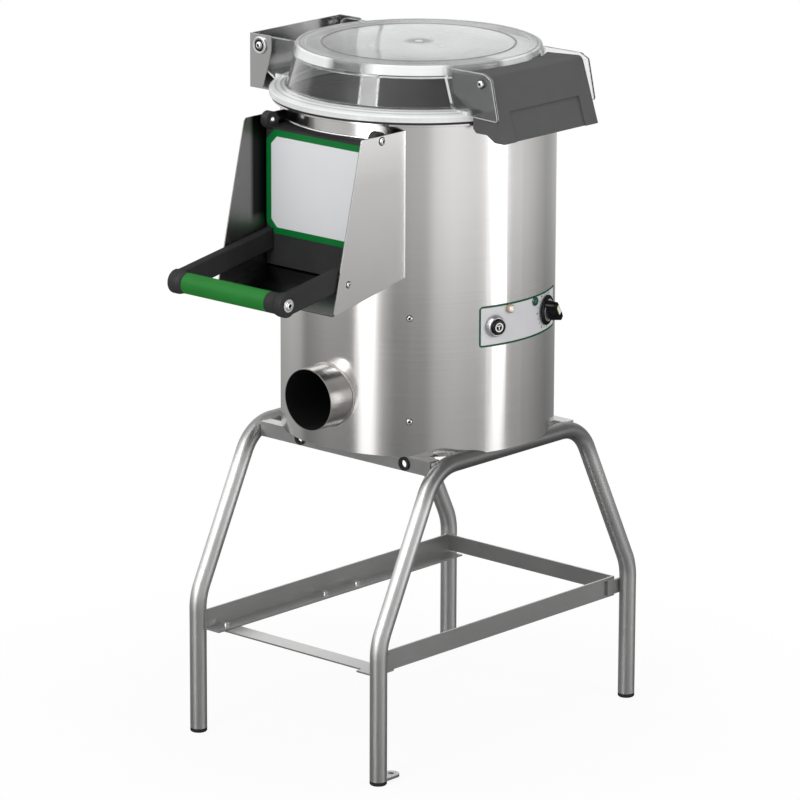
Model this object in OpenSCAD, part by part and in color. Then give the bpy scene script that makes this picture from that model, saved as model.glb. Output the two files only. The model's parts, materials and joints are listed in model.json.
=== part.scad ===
// Floor-standing electric potato peeler: a steel drum on a bent tube stand, a clear lid
// with a pull latch, a front discharge chute with a lift-up door, and a belt drive inside.
// The working frame has its origin on the drum axis at floor level, with +Z up, the chute
// towards -Y and the lid latch towards +X. place() moves the origin under the middle of
// the whole machine.

/* [Stand] */
// Outer diameter of the stand tube
tube_d = 25; // [20:1:30]
// Wall thickness of the stand tube
tube_wall = 1.5; // [1:0.1:3]
// Distance between the axes of the two side frames
stand_w = 357; // [345:1:365]
// Distance between the axes of a front foot and a rear foot
foot_span = 553; // [500:1:600]
// Distance between the upper corners of one side frame
top_span = 318; // [290:1:330]
// Height of the axis of the top tube
stand_h = 444; // [400:1:500]
// Height at which the straight lower leg meets the sloping upper leg
knee_h = 206.5; // [190:0.5:230]
// Bend radius of the tube axis at the knee
knee_r = 80; // [60:1:100]
// How much the tube swells inwards and outwards where it is bent
bend_swell = 0.1; // [0.05:0.05:0.15]
// How far the straight lengths run on into the bends
bend_lap = 1; // [0.5:0.5:2]
// Bend radius of the tube axis at the upper corner
corner_r = 65; // [50:1:75]
// How far the stand sits forward of the drum axis
stand_shift = 3; // [0:1:8]
// Height of a foot cap below the tube
cap_h = 6; // [4:1:10]
// Length of the plug of a foot cap inside the tube
cap_plug = 18; // [10:1:30]
// Edge bevel of a foot cap
cap_bevel = 1.5; // [0.5:0.5:3]

/* [Anchor lug] */
// Width of the bolt-down lug on the front right foot
lug_w = 24; // [20:1:30]
// Distance from the foot axis to the centre of the lug hole
lug_reach = 27; // [24:1:35]
// Thickness of the lug
lug_t = 4; // [3:0.5:6]
// Diameter of the lug hole
lug_hole_d = 9; // [6:0.5:11]

/* [Lower rails] */
// Height of the underside of the side rails
rail_z = 159; // [140:1:175]
// Leg length of the side rail angle
rail_leg = 30; // [25:1:35]
// Sheet thickness of the lower rails
rail_t = 2.5; // [2:0.5:4]
// Half of the distance between the outer faces of the front and rear rails
rail_half = 260; // [240:1:262]
// Height of the rear rail
rear_rail_h = 25; // [20:1:28]
// Distance from the middle of the side rails to a bolt
rail_bolt_gap = 35; // [20:1:60]
// Thickness of the corner tabs
tab_t = 4; // [3:0.5:6]
// Length of the corner tabs
tab_len = 36; // [28:1:50]
// Diameter of the rail bolt heads
rail_bolt_d = 9; // [6:0.5:10]
// Height of the rail bolt heads
rail_bolt_h = 3; // [2:0.5:5]

/* [Cross rails] */
// Distance from the drum axis to a cross rail under the drum
cross_y = 158; // [150:1:165]
// Height of a cross rail
cross_h = 22; // [20:1:30]
// Sheet thickness of a cross rail
cross_t = 2; // [1.5:0.5:4]
// Width of the top flange of a cross rail
cross_flange = 20; // [12:1:30]
// Diameter of the grommet holes in the front cross rail
cross_hole_d = 17; // [12:1:17]
// Distance between the grommet holes
cross_hole_gap = 204; // [150:1:210]
// Sideways place of the middle of the grommet holes
cross_hole_x = 15; // [0:1:20]
// Bore of a grommet
grommet_bore = 11; // [6:0.5:12]

/* [Drum] */
// Outer diameter of the drum
drum_d = 400; // [390:1:410]
// Wall thickness of the drum
drum_wall = 1.5; // [1:0.1:2.5]
// Height of the drum
drum_h = 487; // [470:1:520]
// How far the drum wall sits down over the top tubes
seat_depth = 6.5; // [3:0.5:9]
// Radial width of the turned-out rim
rim_w = 12; // [8:1:13]
// Depth of the turned-down lip of the rim
rim_lip = 3; // [2:0.5:6]
// Thickness of the closing plate under the drum
base_t = 1.5; // [1:0.5:3]
// Thickness of the rubber rim gasket
gasket_t = 3.7; // [3:0.1:6]

/* [Chamber] */
// Thickness of the abrasive wall liner
liner_t = 3; // [2:0.5:5]
// Height of the liner above the drum bottom
liner_low = 262; // [255:1:270]
// Distance from the top of the liner to the top of the drum
liner_top_gap = 12; // [8:1:20]
// Height of the pan floor above the drum bottom
pan_low = 218; // [212:1:226]
// Thickness of the pan floor
pan_t = 3; // [2:0.5:4]
// Diameter of the abrasive disc
disc_d = 378; // [360:1:382]
// Thickness of the abrasive disc
disc_t = 14; // [10:1:18]
// Height of the disc underside above the drum bottom
disc_low = 244; // [240:1:250]
// Height of a wave rib on the disc
wave_h = 8; // [4:1:12]
// Width of a wave rib on the disc
wave_w = 34; // [20:1:45]
// Number of wave ribs on the disc
wave_count = 4; // [3:1:6]
// How far the main shaft stands above the disc
shaft_out = 6; // [4:1:8]
// Diameter of the cap nut on the disc
cap_nut_d = 46; // [36:1:56]
// Height of the cap nut
cap_nut_h = 16; // [12:1:24]

/* [Drive] */
// Height of the machine plate above the drum bottom
machine_low = 34; // [30:1:40]
// Thickness of the machine plate
machine_t = 4; // [3:0.5:6]
// How far the machine plate reaches in front of the drum axis
machine_front = 92; // [80:1:100]
// Diameter of the main shaft
shaft_d = 25; // [20:1:30]
// Outer diameter of a shaft bearing
bearing_d = 52; // [46:1:56]
// Width of a shaft bearing
bearing_w = 15; // [12:1:18]
// Width of the shoulder behind a bearing
bearing_step = 6; // [4:1:8]
// Outer diameter of the bearing housing
housing_d = 72; // [64:1:78]
// Diameter of the flange of the bearing housing
housing_flange_d = 120; // [110:1:125]
// Thickness of the flange of the bearing housing
housing_flange_t = 12; // [8:1:16]
// Outer diameter of the shaft seal
seal_d = 42; // [38:1:46]
// Height of the shaft seal
seal_h = 8; // [6:1:8]
// Diameter of the driven pulley
pulley_d = 170; // [150:1:175]
// Diameter of the motor pulley
motor_pulley_d = 40; // [34:1:48]
// Height of both pulleys
pulley_h = 18; // [16:1:20]
// Height of the pulleys above the drum bottom
pulley_low = 11; // [8:1:12]
// Depth of the belt groove
groove_depth = 6; // [5.5:0.5:8]
// Thickness of the drive belt
belt_t = 5; // [3:0.5:6]
// Width of the drive belt
belt_w = 12; // [8:0.5:13]
// Distance between the main shaft and the motor shaft
drive_centres = 130; // [128:1:132]
// Diameter of the motor
motor_d = 125; // [115:1:130]
// Height of the motor
motor_h = 158; // [130:1:164]
// Diameter of the motor shaft
motor_shaft_d = 14; // [11:1:19]
// How much narrower the motor end cap is than the motor
motor_step = 5; // [2:1:12]
// Height of the motor end cap
motor_cap_h = 26; // [18:1:34]

/* [Drain] */
// Outer diameter of the drain pipe
drain_d = 91; // [80:1:92]
// Wall thickness of the drain pipe
drain_wall = 1.5; // [1:0.1:3]
// How much thicker the drain pipe is in front of the drum than inside it
drain_step = 0.5; // [0.2:0.1:0.8]
// Height of the drain axis above the drum bottom
drain_h = 79.5; // [78:0.5:90]
// Distance from the drum axis to the mouth of the drain
drain_mouth = 241; // [230:1:260]
// Distance from the drum axis to the upright stretch of the drain
drain_y = 150; // [148:1:151]

/* [Chute] */
// Sideways place of the chute and the drain
outlet_x = 6; // [0:1:8]
// Clear distance between the chute cheeks
cheek_gap = 223; // [215:1:225]
// Sheet thickness of the chute
chute_t = 2; // [1.5:0.5:3]
// Distance from the drum axis to the upper front corner of a cheek
cheek_top_y = 252; // [235:1:255]
// Distance from the drum axis to the lower front corner of a cheek
cheek_low_y = 310.5; // [290:0.5:312]
// Distance from the top of the drum down to the top of a cheek
cheek_drop = 10.5; // [9:0.5:16]
// Height above the drum bottom where the chute floor meets the drum
floor_h = 263.5; // [262:0.5:266]
// How far the chute floor falls towards the front
floor_fall = 30.5; // [24:0.5:36]
// Width of the opening in the drum wall
opening_w = 204; // [190:1:206]
// Height of the lower edge of the opening above the drum bottom
opening_low = 268; // [266:1:276]
// Distance from the top of the drum down to the upper edge of the opening
opening_drop = 39; // [37:1:57]

/* [Door] */
// Sideways clearance between the door and a cheek
door_gap = 2; // [1:0.5:3]
// Distance from the drum axis to the front face of the door
door_y = 210; // [208:1:214]
// Distance from the top of the drum down to the top of the door
door_drop = 28; // [27:1:32]
// Wall thickness of the door
door_wall = 4; // [3:0.5:5]
// Distance from the top of the drum down to the door pivot
pivot_drop = 18; // [16:1:20]
// Outer radius of a pivot ear of the door
pivot_ear_r = 12.5; // [11:0.5:16]
// Width of a pivot ear of the door
pivot_ear_w = 12; // [8:1:14]
// Diameter of the door pivot pins
pivot_pin_d = 8; // [6:0.5:10]
// Distance from the drum axis to the axis of the grip
grip_y = 398; // [385:1:400]
// Height of the axis of the grip above the drum bottom
grip_h = 265; // [262:1:270]
// Height above the drum bottom where the axis of an arm meets the door front
arm_root_h = 296; // [290:1:305]
// Depth of a door arm
arm_h = 31; // [26:1:34]
// Thickness of a door arm
arm_t = 14; // [10:1:16]
// Diameter of the round front end of a door arm
arm_end_d = 35; // [32:1:38]
// Diameter of the grip
grip_d = 30; // [26:1:32]
// Diameter of the rod inside the grip
grip_rod_d = 16; // [12:1:20]
// Length of the dark collar at the right end of the grip
grip_collar = 20; // [10:1:40]
// Thickness of the label plate on the door
label_t = 0.8; // [0.5:0.1:1.5]
// Height of the lower edge of the label border above the drum bottom
label_low = 304; // [299:1:314]
// Distance from the top of the door to the border of the label
label_drop = 3; // [3:1:10]
// Side margin of the label on the door front
label_side = 0.5; // [0.5:0.5:10]
// Width of the border round the label
label_border = 9.5; // [4:0.5:10]
// Bevel of the label corners
label_corner = 16; // [8:1:20]

/* [Lid] */
// Outer radius of the lid flange
lid_flange_r = 216; // [214:1:218]
// Height of the outer band of the lid flange
lid_band_h = 9; // [7:0.5:10]
// Height of the lid flange at the foot of the wall
lid_flange_h = 13; // [11:0.5:14]
// Radius of the wall of the lid at its foot
lid_base_r = 190; // [188:1:192]
// Radius of the wall of the lid at its top
lid_top_r = 178.5; // [176:0.5:182]
// Height of the lid
lid_h = 73.6; // [70:0.1:78]
// Wall thickness of the lid
lid_t = 4; // [3:0.5:5]
// Height of the rim band round the top of the lid
lid_rim_h = 13.6; // [10:0.2:16]
// How far the bead under the rim band stands out
lid_bead = 3; // [2:0.5:3]
// Height of the bead under the rim band
lid_bead_h = 4; // [3:0.5:6]
// Bevel on the outer edge of the lid flange
lid_bevel = 2; // [1:0.5:3]
// Width of the fillet at the foot of the lid wall
lid_fillet = 6; // [4:0.5:8]
// Radius of the upper outer edge of the lid
lid_edge_r = 3; // [1:0.5:4]
// Depth of the grooves in the lid top
lid_groove = 1; // [0.5:0.1:1.5]
// Distance from the outer groove of the lid top to the lid edge
lid_groove_in = 6; // [5:0.5:12]
// Radius of the recessed round window in the lid top
lid_disc_r = 141; // [130:1:150]
// Crown of the window in the lid top
lid_crown = 1.5; // [0.5:0.5:3]

/* [Lid hinge] */
// Distance from the drum axis to the outer face of the hinge bracket
bracket_x = 243; // [241:1:248]
// Half of the length of the hinge bracket
bracket_half = 97; // [85:1:100]
// Sheet thickness of the hinge bracket
bracket_t = 2; // [1.5:0.5:2.5]
// Height of the hinge bracket
bracket_h = 80; // [76:1:90]
// Depth of a side flange of the bracket at its top
bracket_top_w = 42; // [36:1:46]
// Depth of a side flange of the bracket at its foot
bracket_foot_w = 25; // [20:1:30]
// Distance from the drum axis to the lid hinge axis
hinge_x = 222.5; // [221:0.5:224]
// Height of the lid hinge axis above the drum top
hinge_h = 56.5; // [54:0.5:59]
// Diameter of the lid hinge pins
hinge_pin_d = 8; // [6:0.5:10]
// Radius of the round end of a lid hinge ear
hinge_ear_r = 14; // [12:0.5:15]
// Thickness of a lid hinge ear
hinge_ear_t = 5; // [4:0.5:8]
// Distance from the drum axis to the low knee of a lid hinge ear
hinge_knee_x = 215; // [208:1:218]
// Height of the low knee of a lid hinge ear above the lid foot
hinge_knee_h = 17; // [14:1:20]
// Distance from the drum axis to the foot of a lid hinge ear
hinge_foot_x = 198; // [190:1:204]
// Height of the foot of a lid hinge ear above the lid foot
hinge_foot_h = 6; // [4:0.5:8]
// Gap between a lid hinge ear and the bracket
hinge_gap = 1; // [0.5:0.5:2]
// Depth of the bracket flange at the height of the hinge axis
bracket_mid_w = 42.5; // [38:0.5:44]
// Distance from the bracket top down to the widest point of its flange
bracket_mid_drop = 22; // [16:1:28]
// Diameter of the bush outside the bracket
hinge_bush_d = 26; // [20:1:30]
// Height of the bush outside the bracket
hinge_bush_h = 3; // [2:0.5:5]

/* [Lid latch] */
// Half of the distance between the outer faces of the latch ears
latch_half = 107; // [100:1:108]
// Thickness of a latch ear
latch_ear_t = 4; // [3:0.5:5]
// Distance from the drum axis to the latch pivot
latch_x = 213; // [212:0.5:214]
// Height of the latch pivot above the drum top
latch_h = 61; // [60:0.5:62]
// Diameter of the latch pivot pins
latch_pin_d = 8; // [6:0.5:8]
// Gap between the latch lever and an ear
latch_gap = 1; // [0.5:0.5:2]
// Distance from the drum axis to the upper edge of the lever face
lever_top_x = 221; // [219:1:223]
// Distance from the drum axis to the lower edge of the lever face
lever_low_x = 252.6; // [248:0.2:256]
// Height of the lever top above the drum top
lever_high = 73; // [72:0.5:75]
// Depth of the lever below the drum top
lever_low = 21; // [19:0.5:22]
// Wall thickness of the lever
lever_wall = 5; // [4:0.5:6]
// Distance from the drum axis to the back of the lever ends
lever_back_x = 154; // [150:1:158]
// Height of the upper back corner of the lever above the drum top
lever_back_high = 69; // [66:1:72]
// Height of the lower back corner of the lever above the drum top
lever_back_low = 41; // [38:1:48]
// Distance from the drum axis to the waist of the lever ends
lever_waist_x = 178.7; // [176:0.1:182]
// Height of the waist of the lever ends above the drum top
lever_waist_h = 27; // [26:1:32]
// Distance from the drum axis to the heel of the lever ends
lever_heel_x = 194.5; // [194:0.5:198]
// Height of the heel of the lever ends above the drum top
lever_heel_h = 18; // [17:0.5:22]
// Depth of the sole of the lever ends below the drum top
lever_sole = 11.5; // [8:0.5:14]
// Distance from the drum axis to the back of the sole
lever_foot_x = 200; // [198:1:206]
// Distance from the drum axis to the front of the sole
lever_toe_x = 220; // [214:1:226]
// Distance from the drum axis to the back of the lower lip of the lever
lever_lip_x = 235; // [230:1:240]
// Clear distance between the lever and the lid wall
lever_arc_gap = 7.5; // [7:0.5:9]
// Half width of the nose inside the lever
nose_half = 30; // [20:1:34]
// Thickness of the nose inside the lever
nose_t = 5; // [4:0.5:6]
// Half width of the catch on the drum
catch_half = 35; // [25:1:45]
// Thickness of the catch on the drum
catch_t = 5; // [4:0.5:6]
// Distance from the drum top down to the catch
catch_drop = 6; // [5:0.5:8]
// How far the catch stands out past the drum rim
catch_out = 2; // [1:0.5:2]
// Height of the top edge of a latch ear above the pivot
ear_up = 15; // [13:0.5:16]
// Distance from the latch pivot to the front shoulder of an ear
ear_shoulder = 4; // [2:0.5:8]
// Distance from the latch pivot to the upper front corner of an ear
ear_brow = 18; // [14:0.5:20]
// Height of the upper front corner of an ear above the pivot
ear_brow_h = 8; // [6:0.5:10]
// Distance from the latch pivot to the lower front corner of an ear
ear_jaw = 31; // [26:0.5:32]
// Depth of the lower front corner of an ear below the pivot
ear_jaw_h = 51; // [46:0.5:52]
// Depth of the finger recess in the lever face
recess_depth = 2.5; // [1:0.5:3]
// Half width of the finger recess
recess_half = 75; // [60:1:85]
// Height of the finger recess along the lever face
recess_h = 42; // [30:1:50]

/* [Controls] */
// Start angle of the control panel round the drum
panel_a0 = -22.5; // [-26:0.5:-20]
// Span of the control panel round the drum
panel_span = 53; // [50:0.5:56]
// Height of the lower edge of the control panel above the drum bottom
panel_low = 156; // [150:1:160]
// Height of the control panel
panel_h = 60.5; // [56:0.5:66]
// Thickness of the control panel
panel_t = 0.6; // [0.4:0.1:1]
// Corner radius of the control panel
panel_corner = 5; // [3:0.5:8]
// Angle of the push button round the drum
button_a = -15; // [-16:0.5:-14]
// Height of the push button above the drum bottom
button_h = 186; // [183:1:188]
// Outer diameter of the button bezel
bezel_d = 30; // [28:0.5:32]
// Height of the button bezel
bezel_h = 9; // [6:0.5:12]
// Diameter of the button
button_d = 22; // [18:0.5:23]
// How far the button stands out of its bezel
button_out = 3.5; // [3:0.5:6]
// Travel of the button
button_travel = 3; // [2:0.5:3]
// Diameter of the button stem
button_stem_d = 8; // [6:0.5:10]
// Angle of the power lamp round the drum
power_lamp_a = -7.5; // [-8.5:0.5:-6.5]
// Angle of the running lamp round the drum
run_lamp_a = 8.7; // [7:0.1:10]
// Height of both lamps above the drum bottom
lamp_h = 208; // [206:0.5:209]
// Diameter of a lamp
lamp_d = 13; // [10:0.5:14]
// How far the power lamp stands out
power_lamp_out = 8; // [5:0.5:10]
// How far the running lamp stands out
run_lamp_out = 4; // [2:0.5:8]
// Angle of the timer knob round the drum
knob_a = 18.5; // [17.5:0.5:20]
// Height of the timer knob above the drum bottom
knob_h = 188; // [186:1:190]
// Diameter of the skirt of the timer knob
knob_skirt_d = 44; // [38:1:46]
// Thickness of the skirt of the timer knob
knob_skirt_t = 4; // [3:0.5:5]
// Height of the timer knob
knob_out = 20; // [16:1:24]
// Width of the grip of the timer knob
knob_grip_w = 15; // [12:0.5:18]
// Diameter of the timer shaft
knob_shaft_d = 6; // [5:0.5:8]

/* [Fasteners] */
// Head diameter of the pivot screws of the door and the latch
screw_head_d = 13; // [11:0.5:13]
// Head height of the pivot screws
screw_head_h = 4; // [2:0.5:5]
// Head diameter of the small screws
small_head_d = 9; // [7:0.5:10]
// Head height of the small screws
small_head_h = 2.5; // [2:0.5:4]
// Shank diameter of the small screws
small_shank_d = 4; // [3:0.5:5]
// Diameter of the washers on the ends of the grip
washer_d = 19; // [16:1:24]
// Thickness of the washers on the ends of the grip
washer_t = 1.5; // [1:0.5:2.5]
// Height of the lower row of wall screws above the drum bottom
wall_screw_low = 52; // [50:1:56]
// Height of the upper row of wall screws above the drum bottom
wall_screw_high = 204; // [198:1:208]
// How far the wall screws reach inside the drum wall
wall_screw_in = 7; // [4:1:10]
// Distance from the drum axis to the lower screws of the cheeks
cheek_screw_y = 279; // [270:1:290]
// Height of the lower screws of the cheeks above the lower front corner
cheek_screw_h = 41.5; // [30:0.5:60]

/* [Clearances] */
// Radial clearance of a fit
fit = 0.05; // [0.02:0.01:0.08]
// Gap between parts that lie close to each other
gap = 0.3; // [0.25:0.05:0.4]
// Overrun of cutting shapes
over = 1; // [0.5:0.5:2]

/* [Services] */
// Distance from the top of the drum down to the water inlet
inlet_drop = 67; // [57:1:87]
// Outer diameter of the water inlet
inlet_d = 26.4; // [20:0.2:27]
// Bore of the water inlet
inlet_bore = 19; // [12:1:20]
// Length of the water inlet outside the drum
inlet_len = 40; // [30:1:50]
// Height of the cable gland above the drum bottom
gland_h = 76; // [75:1:90]
// Outer diameter of the cable gland
gland_d = 24; // [20:1:28]
// Bore of the cable gland
gland_bore = 9; // [6:0.5:11]
// Length of the cable gland outside the drum
gland_len = 22; // [16:1:30]
// Width across the corners of the hexagon collars
hex_d = 40; // [34:1:44]
// Thickness of the hexagon collars
hex_t = 6; // [4:0.5:8]
// Width of the timer body and the contact block
block_w = 40; // [30:1:42]
// Depth of the timer body and the contact block
block_depth = 34; // [26:1:44]
// Width of the junction box
box_w = 70; // [50:1:80]
// Height of the junction box
box_h = 60; // [40:1:70]
// Length of the lid switch
switch_len = 28; // [20:1:34]
// Width of the lid switch
switch_w = 11; // [8:0.5:14]
// Sideways place of the lid switch in the hinge bracket
switch_y = 50; // [30:1:58]
// Height of the lid switch
switch_h = 16; // [12:1:20]

/* [Hidden] */
$fn = 96;

// How many straight steps stand in for one rounded corner of an outline
bend_steps = 8;
// How many straight steps the belt takes round a pulley
belt_steps = 36;
// Share of a lamp diameter that passes through the wall
lamp_neck_share = 0.6;
// Share of the drum radius that trimmed shapes reach in to before they are cut back
trim_share = 0.6;

// Stand
tube_r = tube_d / 2;
side_x = stand_w / 2;
side_in = side_x - tube_r;
foot_y = foot_span / 2;
corner_y = top_span / 2;
lean = atan2(foot_y - corner_y, stand_h - knee_h);
knee_run = knee_r * tan(lean / 2);
corner_run = corner_r * tan((90 - lean) / 2);
slope_len = norm([foot_y - corner_y, stand_h - knee_h]) - knee_run - corner_run;
top_half = corner_y - corner_run;
rail_front = rail_half + stand_shift;
rail_back = rail_half - stand_shift;
rail_bolt_x = side_in - rail_leg / 2;

// Drum and chamber
drum_z = stand_h + tube_r - seat_depth;
top_z = drum_z + drum_h;
drum_r = drum_d / 2;
drum_in = drum_r - drum_wall;
rim_r = drum_r + rim_w;
trim_r = drum_r * trim_share;
pan_z = drum_z + pan_low;
liner_r = drum_in - fit;
liner_in = liner_r - liner_t;
liner_z = drum_z + liner_low;
liner_h = drum_h - liner_low - liner_top_gap;
disc_z = drum_z + disc_low;
disc_top = disc_z + disc_t;
wave_r = (pow(wave_w / 2, 2) + pow(wave_h, 2)) / (2 * wave_h);

// Drive
shaft_r = shaft_d / 2;
machine_z = drum_z + machine_low;
plate_top = machine_z + machine_t;
housing_top = pan_z - seal_h;
bearing_r = bearing_d / 2;
pulley_z = drum_z + pulley_low;
groove_r = pulley_d / 2 - groove_depth;
motor_groove_r = motor_pulley_d / 2 - groove_depth;
groove_edge = (pulley_h - belt_w) / 2 - gap;
motor_shaft_r = motor_shaft_d / 2;
motor_collar_r = motor_pulley_d / 2;

// Drain and chute
drain_r = drain_d / 2;
drain_in = drain_r - drain_step;
drain_z = drum_z + drain_h;
cheek_x = cheek_gap / 2;
cheek_z = top_z - cheek_drop;
floor_z = drum_z + floor_h;
floor_back = sqrt(pow(drum_r, 2) - pow(outlet_x + cheek_x, 2));
floor_a = atan2(floor_fall, cheek_low_y - floor_back);
floor_t = chute_t / cos(floor_a);
cheek_corner = 2 * chute_t;
cheek_screw_z = floor_z - floor_fall + cheek_screw_h;
opening_z = drum_z + opening_low;

// Door
door_half = cheek_x - door_gap;
door_z = top_z - door_drop;
door_back = drum_r + door_gap;
pivot_z = top_z - pivot_drop;
label_top = door_z - label_drop;
label_h = label_top - drum_z - label_low;
pivot_r = pivot_pin_d / 2;
grip_z = drum_z + grip_h;
arm_root_z = drum_z + arm_root_h;
arm_a = atan2(arm_root_z - grip_z, grip_y - door_y);
arm_in = door_half - arm_t;
rod_r = grip_rod_d / 2;

// Lid and latch
lid_z = top_z + gasket_t + gap;
lid_top = lid_z + lid_h;
rim_z = lid_top - lid_rim_h;
hinge_z = top_z + hinge_h;
hinge_r = hinge_pin_d / 2;
hinge_knee = [-hinge_knee_x, lid_z + hinge_knee_h];
bracket_z = hinge_z + hinge_ear_r + bracket_t - bracket_h;
latch_z = top_z + latch_h;
latch_r = latch_pin_d / 2;
lever_half = latch_half - latch_ear_t - latch_gap;
lever_z = top_z + lever_high;
lever_foot = top_z - lever_low;
face_a = atan2(lever_low_x - lever_top_x, lever_z - lever_foot);
face_w = lever_wall / cos(face_a);
nose_z = top_z - catch_drop - catch_t - gap - nose_t;

// Controls
panel_r = drum_r + panel_t;
panel_z = drum_z + panel_low;
panel_mid = panel_a0 + panel_span / 2;
panel_half = drum_r * sin(panel_span / 2);
button_z = drum_z + button_h;
lamp_z = drum_z + lamp_h;
lamp_neck_r = lamp_d * lamp_neck_share / 2;
knob_z = drum_z + knob_h;
knob_base = panel_r + door_gap;
block_front = sqrt(pow(drum_in, 2) - pow(block_w / 2, 2)) - gap;
button_deep = block_front - block_depth / 2;
wall_deep = block_depth / 2;
button_back = panel_r + button_travel + gap;
box_front = sqrt(pow(drum_in, 2) - pow(box_w / 2, 2)) - gap;

// Services
inlet_a = 90;
inlet_z = top_z - inlet_drop;
gland_a = 150;
gland_z = drum_z + gland_h;
screw_angles = [-51.4, 68.6, -171.4];
screw_heights = [drum_z + wall_screw_low, drum_z + wall_screw_high];

// Origin: the middle of the whole machine, at floor level
mid_x = (lever_low_x - bracket_x) / 2;
mid_y = (foot_y - stand_shift + tube_r - grip_y - arm_end_d / 2) / 2;

// Points of a path whose corners are rounded with the radii r
function unit(v) = v / norm(v);
function arc_at(a, p, b, r) =
    let (u = unit(a - p), v = unit(b - p), half = acos(u * v) / 2,
        c = p + unit(u + v) * r / sin(half),
        t0 = p + u * r / tan(half) - c, t1 = p + v * r / tan(half) - c,
        a0 = atan2(t0[1], t0[0]), turn = (atan2(t1[1], t1[0]) - a0 + 540) % 360 - 180)
    r == 0 ? [p] : [for (i = [0:bend_steps]) c + r * [cos(a0 + turn * i / bend_steps),
        sin(a0 + turn * i / bend_steps)]];
function rounded(p, r) = [for (i = [0:len(p) - 1])
    each arc_at(p[(i + len(p) - 1) % len(p)], p[i], p[(i + 1) % len(p)], r[i])];
function box_path(w, h) = [[-w / 2, -h / 2], [w / 2, -h / 2], [w / 2, h / 2], [-w / 2, h / 2]];
function bevel_path(w, h, c) = [[-w / 2 + c, -h / 2], [w / 2 - c, -h / 2], [w / 2, -h / 2 + c],
    [w / 2, h / 2 - c], [w / 2 - c, h / 2], [-w / 2 + c, h / 2], [-w / 2, h / 2 - c],
    [-w / 2, -h / 2 + c]];

// Moves the origin under the middle of the machine
module place() {
    translate([-mid_x, -mid_y, 0]) children();
}

// Stands an outline drawn in X and Z up between y0 and y1
module xz(y0, y1) {
    translate([0, y1, 0]) rotate([90, 0, 0]) linear_extrude(y1 - y0) children();
}

// Stands an outline drawn in Y and Z up between x0 and x1
module yz(x0, x1) {
    translate([x0, 0, 0]) rotate([90, 0, 90]) linear_extrude(x1 - x0) children();
}

// Points the Z axis of a shape outwards from the drum wall
module on_wall(a, z) {
    rotate([0, 0, a]) translate([0, 0, z]) rotate([0, 90, 0]) children();
}

// A round rod that stands on the drum wall between two distances from the drum axis
module wall_rod(r, r0, r1) {
    translate([0, 0, r0]) cylinder(r = r, h = r1 - r0);
}

module ring(ro, ri, h) {
    difference() {
        cylinder(r = ro, h = h);
        translate([0, 0, -over]) cylinder(r = ri, h = h + 2 * over);
    }
}

// A rod along X
module x_rod(r, x0, x1) {
    translate([x0, 0, 0]) rotate([0, 90, 0]) cylinder(r = r, h = x1 - x0);
}

// A rod along Y
module y_rod(r, y0, y1) {
    translate([0, y0, 0]) rotate([-90, 0, 0]) cylinder(r = r, h = y1 - y0);
}

// Section of the stand tube, with the swell of a bend
module tube_2d(swell) {
    difference() {
        circle(tube_r + swell);
        circle(tube_r - tube_wall - swell);
    }
}

// A straight length of tube that laps into a bend at its top and, if it has one, at its foot
module straight(len, lap) {
    translate([0, 0, -lap]) linear_extrude(len + lap + bend_lap) tube_2d(0);
}

// One leg from the foot up to the top tube
module leg() {
    translate([0, foot_y, cap_h]) straight(knee_h - knee_run - cap_h, 0);
    translate([0, foot_y - knee_r, knee_h - knee_run]) rotate([90, 0, 90])
        rotate_extrude(angle = lean) translate([knee_r, 0]) tube_2d(bend_swell);
    translate([0, foot_y - knee_run * sin(lean), knee_h + knee_run * cos(lean)])
        rotate([lean, 0, 0]) straight(slope_len, bend_lap);
    translate([0, top_half, stand_h - corner_r]) rotate([90, 0, 90]) rotate([0, 0, lean])
        rotate_extrude(angle = 90 - lean) translate([corner_r, 0]) tube_2d(bend_swell);
}

module side_frame(x) {
    translate([x, -stand_shift, 0]) {
        leg();
        mirror([0, 1, 0]) leg();
        translate([0, top_half, stand_h]) rotate([90, 0, 0]) straight(2 * top_half, bend_lap);
    }
}

// The two top tubes as solid rods, used to notch the parts that sit on them
module top_rods() {
    for (s = [-1, 1]) translate([s * side_x, 0, stand_h]) y_rod(tube_r + fit, -rim_r, rim_r);
}

module stand_frame_left() {
    color("silver") place() side_frame(-side_x);
}

module stand_frame_right() {
    color("silver") place() side_frame(side_x);
}

// Rubber caps pushed into the feet
module foot_caps() {
    plug_r = tube_r - tube_wall - fit;
    color("black") place() for (x = [-side_x, side_x], y = [-foot_y, foot_y])
        translate([x, y - stand_shift, 0]) rotate_extrude() polygon([[0, 0],
            [tube_r - cap_bevel, 0], [tube_r, cap_bevel], [tube_r, cap_h], [plug_r, cap_h],
            [plug_r, cap_h + cap_plug], [0, cap_h + cap_plug]]);
}

// Bolt-down lug welded to the front right foot
module anchor_lug() {
    color("silver") place() translate([side_x, -foot_y - stand_shift, cap_h])
        linear_extrude(lug_t) difference() {
            union() {
                translate([-lug_w / 2, 0]) square([lug_w, lug_reach]);
                translate([0, lug_reach]) circle(lug_w / 2);
            }
            circle(tube_r + fit);
            translate([0, lug_reach]) circle(lug_hole_d / 2);
        }
}

// Angle rail on the inner side of the legs
module side_rail(s) {
    bolt_y = [-rail_front + rail_leg / 2, -rail_bolt_gap, rail_bolt_gap];
    difference() {
        xz(-foot_y - stand_shift, rail_back) polygon([[s * side_in, rail_z],
            [s * side_in, rail_z + rail_leg], [s * (side_in - rail_t), rail_z + rail_leg],
            [s * (side_in - rail_t), rail_z + rail_t], [s * (side_in - rail_leg), rail_z + rail_t],
            [s * (side_in - rail_leg), rail_z]]);
        for (y = bolt_y) translate([s * rail_bolt_x, y, rail_z - over])
            cylinder(r = small_shank_d / 2 + fit, h = rail_t + 2 * over);
    }
}

module lower_rail_left() {
    color("darkgray") place() side_rail(-1);
}

module lower_rail_right() {
    color("darkgray") place() side_rail(1);
}

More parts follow.
